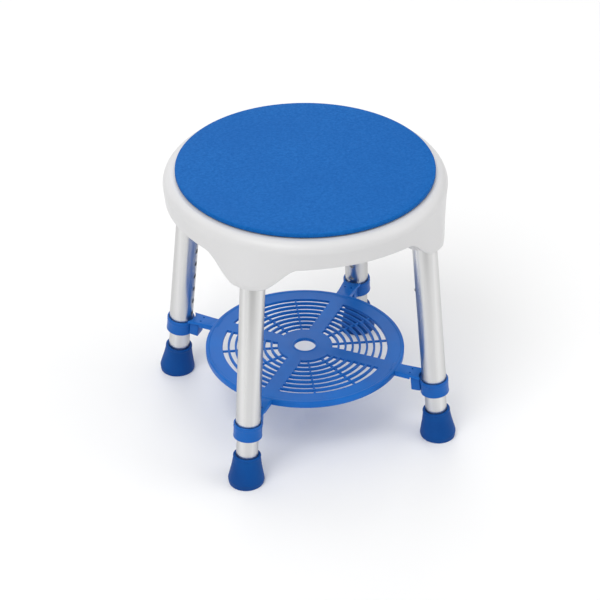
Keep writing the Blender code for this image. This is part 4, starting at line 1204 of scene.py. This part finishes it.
@dataclass
class TelescopicLeg:
    """One leg: an upper tube that plugs into the seat, and a lower tube that slides in it."""

    place: LegPlace
    outer_wall: float = 1.0 * MM
    inner_wall: float = 1.2 * MM
    tube_round: float = 0.42 * MM
    hole_gap: float = 0.35 * MM
    hole_step: float = 18.0 * MM
    hole_count: int = 7
    cap_inset: float = 2.0 * MM
    cap_rise: float = 6.5 * MM
    cap_wall: float = 2.0 * MM
    collar_chamfer: float = 0.8 * MM
    clip_width: float = 15.0 * MM
    clip_wall: float = 2.0 * MM
    clip_raise: float = 2.0 * MM
    clip_floor: float = 4.0 * MM
    foot_top: float = 36.0 * MM
    foot_top_r: float = 16.0 * MM
    foot_base_r: float = 21.0 * MM
    foot_below: float = -5.5 * MM    # how low the foot reaches before it is cut level with the floor
    foot_lip: float = 2.6 * MM
    sole: float = 8.5 * MM
    tread_rings: tuple[float, ...] = (5.0 * MM, 10.0 * MM, 15.0 * MM)
    tread_depth: float = 1.2 * MM
    button_lip: float = 1.6 * MM     # how much wider a button's head is than its pin
    button_head: float = 1.3 * MM
    nose_share: float = 0.62         # a button's nose, as a share of its pin's radius
    leaf_root: float = 3.28 * MM     # from the axis in to where a leaf spring starts to bend
    leaf_thick: float = 0.6 * MM

    def __post_init__(self) -> None:
        """Reads the leg's sizes and makes its tubes' finish, whose lines run along the leg and whose base
        colour carries a painted reflection.
        """
        self.name = self.place.leg.value
        low, high = self.place.node_box("outer_tube")
        self.outer_r, self.outer_low, self.outer_high = high.x, low.z, high.z
        low, high = self.place.node_box("inner_tube")
        self.inner_r, self.inner_low, self.inner_high = high.x, low.z, high.z
        self.seat_pin = self.middle("seat_button")
        self.height_pin = self.middle("height_button")
        turn = self.place.matrix.to_3x3().inverted().to_euler()
        self.metal = material_of(DrawnMetal(f"{self.name}_tube_aluminium", light=(0.92, 0.92, 0.915, 1),
                                            dark=(0.875, 0.875, 0.875, 1), spread=0.03, turn=tuple(turn),
                                            painted_reflection=TUBE_PAINTED_REFLECTION))

    def middle(self, part: str) -> tuple[float, float]:
        """A button's distance along the leg, and its pin's radius."""
        low, high = self.place.node_box(part)
        return (low.z + high.z) / 2, (high.z - low.z) / 2 - self.button_lip

    def tube(self, radius: float, wall: float, low: float, high: float) -> bmesh.types.BMesh:
        """A tube with rounded ends."""
        edge = self.tube_round
        corners = [(radius, high, edge), (radius, low, edge), (radius - wall, low, edge),
                   (radius - wall, high, edge)]
        return placed(turned(filleted(corners), 96), self.place.matrix)

    def hole(self, height: float, radius: float, outside: float) -> bmesh.types.BMesh:
        """Cutter for one hole through a tube's side that faces the stool's middle."""
        start = self.place.matrix @ Vector((-outside + 4.0 * MM, 0, height))
        end = self.place.matrix @ Vector((-outside - 4.0 * MM, 0, height))
        return pin(start, end, radius + self.hole_gap)

    def tubes(self) -> None:
        """The two tubes, with their holes."""
        upper = new_object(f"{self.name}_upper_tube",
                           self.tube(self.outer_r, self.outer_wall, self.outer_low, self.outer_high))
        at, pin_r = self.height_pin
        holes = [self.hole(at - i * self.hole_step, pin_r, self.outer_r) for i in range(self.hole_count)]
        holes.append(self.hole(*self.seat_pin, self.outer_r))
        join_solids(upper, [(Joining.CUT, gathered(holes))])
        fit_out(upper, f"{self.name}_upper_leg", self.metal, [f"{self.name}_outer_tube"])
        lower = new_object(f"{self.name}_lower_tube",
                           self.tube(self.inner_r, self.inner_wall, self.inner_low, self.inner_high))
        join_solids(lower, [(Joining.CUT, self.hole(at, pin_r, self.inner_r))])
        fit_out(lower, f"{self.name}_lower_leg", self.metal, [f"{self.name}_inner_tube"])

    def cap(self, black: bpy.types.Material) -> None:
        """The domed plug in the upper tube's top."""
        low = self.place.node_box("top_cap")[0].z
        dome_r = self.outer_r - self.cap_inset
        plug_r = self.outer_r - self.outer_wall - self.hole_gap
        top = self.outer_high
        hollow_r = plug_r - self.cap_wall
        profile = dome(dome_r, top, self.cap_rise, 5, 18)
        profile += [(dome_r, top + 0.1 * MM), (dome_r, top - 0.5 * MM), (plug_r, top - 0.9 * MM),
                    (plug_r, low + 0.8 * MM), (plug_r - 0.6 * MM, low), (hollow_r, low),
                    (hollow_r, top), (0, top + self.cap_rise - self.cap_wall)]
        shape = placed(turned(profile, 72, closed=False), self.place.matrix)
        obj = new_object(f"{self.name}_domed_cap", shape)
        fit_out(obj, f"{self.name}_upper_leg", black, [f"{self.name}_top_cap"])

    def collar(self, blue: bpy.types.Material) -> None:
        """The collar on the upper tube's foot, with its socket for the tray."""
        low, high = self.place.node_box("collar")
        ring_r = high.x
        bore_r = self.outer_r + self.hole_gap
        lip_r = self.inner_r + self.hole_gap
        lip_top = self.outer_low - self.hole_gap
        edge = self.collar_chamfer
        band = 0.25 * MM
        corners = [(bore_r, high.z, 0.4 * MM), (ring_r, high.z, edge), (ring_r, high.z - 4.5 * MM, 0.3 * MM),
                   (ring_r - band, high.z - 5.2 * MM, 0.3 * MM), (ring_r - band, low.z + 3.0 * MM, 0.3 * MM),
                   (ring_r, low.z + 2.3 * MM, 0.3 * MM), (ring_r, low.z, edge), (lip_r, low.z, 0.3 * MM),
                   (lip_r, lip_top, 0), (bore_r, lip_top, 0)]
        obj = new_object(f"{self.name}_collar_ring", turned(filleted(corners, steps=3), 96))
        half = self.clip_width / 2
        bottom = low.z + self.clip_raise
        top = high.z - 0.35 * MM
        block = bar((low.x, -half, bottom), (-(bore_r + ring_r) / 2, half, top), edge=0.7 * MM)
        pocket = bar((low.x + self.clip_wall, -half + self.clip_wall, bottom + self.clip_floor),
                     (-ring_r - self.clip_wall, half - self.clip_wall, top + 6.0 * MM), edge=0.5 * MM)
        join_solids(obj, [(Joining.ADD, block), (Joining.CUT, pocket)])
        obj.data.transform(self.place.matrix)
        fit_out(obj, f"{self.name}_upper_leg", blue, [f"{self.name}_collar"])

    def foot(self, blue: bpy.types.Material) -> None:
        """The flared rubber foot, cut level with the floor, with a ringed tread."""
        bore_r = self.inner_r + self.hole_gap
        top, below = self.foot_top, self.foot_below
        top_r, base_r = self.foot_top_r, self.foot_base_r
        neck = top - self.foot_lip
        corners = [(0, self.sole, 0), (bore_r, self.sole, 0), (bore_r, top, 0.5 * MM), (top_r, top, 1.3 * MM),
                   (top_r, neck, 0.4 * MM), (top_r - 0.3 * MM, neck - 0.5 * MM, 0.4 * MM),
                   (top_r + 1.4 * MM, top * 0.60, 16.0 * MM), (base_r - 0.9 * MM, top * 0.25, 9.0 * MM),
                   (base_r, top * 0.13, 3.0 * MM), (base_r - 1.4 * MM, -2.0 * MM, 0),
                   (base_r - 1.4 * MM, below, 0), (0, below, 0)]
        bm = placed(turned(filleted(corners, closed=False, steps=6), 96, closed=False), self.place.matrix)
        bmesh.ops.bisect_plane(bm, geom=bm.verts[:] + bm.edges[:] + bm.faces[:], plane_co=(0, 0, 0),
                               plane_no=(0, 0, 1), clear_inner=True, dist=WELD)
        bmesh.ops.edgeloop_fill(bm, edges=[edge for edge in bm.edges if edge.is_boundary])
        obj = new_object(f"{self.name}_rubber_foot", clean(bm))
        spot = Matrix.Translation(self.place.matrix.translation)
        grooves = []
        for middle in self.tread_rings:
            outline = [(middle - 0.9 * MM, -2.0 * MM), (middle + 0.9 * MM, -2.0 * MM),
                       (middle + 0.6 * MM, self.tread_depth), (middle - 0.6 * MM, self.tread_depth)]
            grooves.append(placed(turned(outline, 64), spot))
        join_solids(obj, [(Joining.CUT, gathered(grooves))])
        fit_out(obj, f"{self.name}_lower_leg", blue, [f"{self.name}_foot"])

    def button(self, part: str, body: str, steel: bpy.types.Material) -> None:
        """A round-nosed button with a wide head behind it, pointing at the stool's middle."""
        low, high = self.place.node_box(part)
        at, pin_r = self.middle(part)
        head_r = pin_r + self.button_lip
        tip, back = -low.x, -high.x
        shoulder = back + self.button_head
        nose = pin_r * self.nose_share
        profile = dome(pin_r, tip - nose, nose, 7.5, 13)
        profile += [(pin_r, shoulder), (head_r - 0.3 * MM, shoulder), (head_r, shoulder - 0.3 * MM),
                    (head_r, back), (0, back)]
        bm = placed(turned(profile, 40, closed=False), Matrix.Rotation(-math.pi / 2, 4, "Y"))
        bm = placed(bm, self.place.matrix @ Matrix.Translation((0, 0, at)))
        obj = new_object(f"{self.name}_{part}_pin", bm)
        fit_out(obj, body, steel, [f"{self.name}_{part}"])

    def spring(self, end: str, steel: bpy.types.Material) -> None:
        """A leaf spring, copied from its CAD node.

        Args:
            end: Which of the leg's springs it is: seat or height.
            steel: Its finish.
        """
        bm = bmesh.new()
        bm.from_mesh(frame["nodes"][f"{self.name}_{end}_spring"].data)
        obj = new_object(f"{self.name}_{end}_leaf", clean(bm))
        fit_out(obj, None, steel, [f"{self.name}_{end}_spring"])
        low = self.place.node_box(f"{end}_spring")[0]
        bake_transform(obj)

    def build(self) -> None:
        """Makes and dresses the leg."""
        self.tubes()
        self.cap(material_of(CAP_BLACK))
        self.collar(material_of(COLLAR_BLUE))
        self.foot(material_of(FOOT_BLUE))
        steel = material_of(BUTTON_STEEL)
        self.button("seat_button", f"{self.name}_seat_button", steel)
        self.button("height_button", f"{self.name}_height_button", steel)
        self.spring("seat", material_of(SPRING_STEEL))
        self.spring("height", material_of(SPRING_STEEL))
        dress_node(f"{self.name}_foot_washer", material_of(SPRING_STEEL))
        dress_node(f"{self.name}_guide_bush", material_of(BEARING_PALE))


# ------------------------------------------------------------------ studio

@dataclass
class Studio:
    """A pale floor, soft light and the camera."""

    azimuth: float = math.radians(-21.7)
    pitch: float = math.radians(33.63)
    reach: float = 2.1317
    side: float = -0.0059
    height: float = 1.5611
    lens: float = 132.0
    floor_size: float = 14.0

    def camera(self) -> None:
        """Stands the camera where it looks at the stool's front leg and down on its seat."""
        data = bpy.data.cameras.new("camera")
        data.lens = self.lens
        data.clip_end = 50.0
        camera = bpy.data.objects.new("camera", data)
        bpy.context.scene.collection.objects.link(camera)
        spot = Vector((self.side, -self.reach, self.height))
        camera.location = Matrix.Rotation(self.azimuth, 4, "Z") @ spot
        camera.rotation_euler = (math.pi / 2 - self.pitch, 0, self.azimuth)
        bpy.context.scene.camera = camera

    def floor(self) -> None:
        """Lays a wide pale floor that stays under the feet."""
        bm = bmesh.new()
        bmesh.ops.create_grid(bm, x_segments=1, y_segments=1, size=self.floor_size / 2,
                              matrix=Matrix.Translation((0, 0, -0.05 * MM)))
        floor = new_object("studio_floor", bm)
        paper = Surface.start("floor_paper", (0.9, 0.9, 0.9, 1))
        cloud = paper.sheet.noise(paper.place, 3.0, detail=2.0)
        tone = paper.sheet.mix_colour(cloud, (0.905, 0.905, 0.905, 1), (0.92, 0.92, 0.92, 1))
        paper.sheet.tree.links.new(tone, paper.shader.inputs["Base Color"])
        paper.shader.inputs["Roughness"].default_value = 0.65
        paper.shader.inputs["Specular IOR Level"].default_value = 0.2
        floor.data.materials.append(paper.material)
        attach(floor, f"{Leg.FRONT.value}_lower_leg")

    def sky(self) -> None:
        """A pale tent with darker gaps between its lights, plain where it is seen directly."""
        world = bpy.data.worlds.new("studio_tent")
        bpy.context.scene.world = world
        world.use_nodes = True
        sheet = NodeSheet(world.node_tree)
        back = world.node_tree.nodes["Background"]
        way = sheet.add("ShaderNodeSeparateXYZ", {0: sheet.add("ShaderNodeTexCoord").outputs["Generated"]})
        turn = sheet.math("ARCTAN2", way.outputs["Y"], way.outputs["X"])
        band = sheet.math("COSINE", sheet.math("ADD", sheet.math("MULTIPLY", turn, 3.0), 0.9))
        soft = sheet.remap(band, -0.6, 0.7, 0.30, 1.25)
        high = sheet.remap(way.outputs["Z"], 0.35, 0.85, 0.0, 1.0)
        level = sheet.math("ADD", sheet.math("MULTIPLY", soft, sheet.math("SUBTRACT", 1.0, high)), high)
        seen = sheet.add("ShaderNodeLightPath").outputs["Is Camera Ray"]
        lit = sheet.math("MULTIPLY", level, 0.85)
        colour = sheet.mix_colour(seen, lit, (0.99, 0.99, 0.99, 1))
        sheet.tree.links.new(colour, back.inputs["Color"])
        back.inputs["Strength"].default_value = 1.0

    def lamp(self, name: str, spot: Sequence[float], aim: Sequence[float], size: float, power: float) -> None:
        """Hangs a square soft light.

        Args:
            name: The light's name.
            spot: Where it hangs.
            aim: What it points at.
            size: Its side.
            power: Its watts.
        """
        data = bpy.data.lights.new(name, "AREA")
        data.size = size
        data.energy = power
        lamp = bpy.data.objects.new(name, data)
        bpy.context.scene.collection.objects.link(lamp)
        lamp.location = spot
        lamp.rotation_euler = (Vector(aim) - Vector(spot)).to_track_quat("-Z", "Y").to_euler()

    def build(self) -> None:
        """Sets up the studio."""
        self.camera()
        self.floor()
        self.sky()
        self.lamp("key_light", (-1.3, -0.9, 2.4), (0, 0, 0.15), 1.5, 27.0)
        self.lamp("fill_light", (1.8, -1.2, 1.6), (0, 0, 0.2), 1.6, 9.0)
        self.lamp("back_light", (0.6, 2.2, 1.9), (0, 0, 0.25), 1.6, 13.0)
        bpy.context.scene.view_settings.view_transform = "Standard"


def main() -> None:
    """Builds the stool's sub-assemblies in order, then the studio."""
    logging.basicConfig(level=logging.INFO, format="%(name)s: %(message)s")
    places = [LegPlace.read(leg) for leg in Leg]
    Studio().build()
    Seat(places).build()
    TurningTop().build()
    Tray(places).build()
    for place in places:
        TelescopicLeg(place).build()
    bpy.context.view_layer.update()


if __name__ == "__main__":
    main()
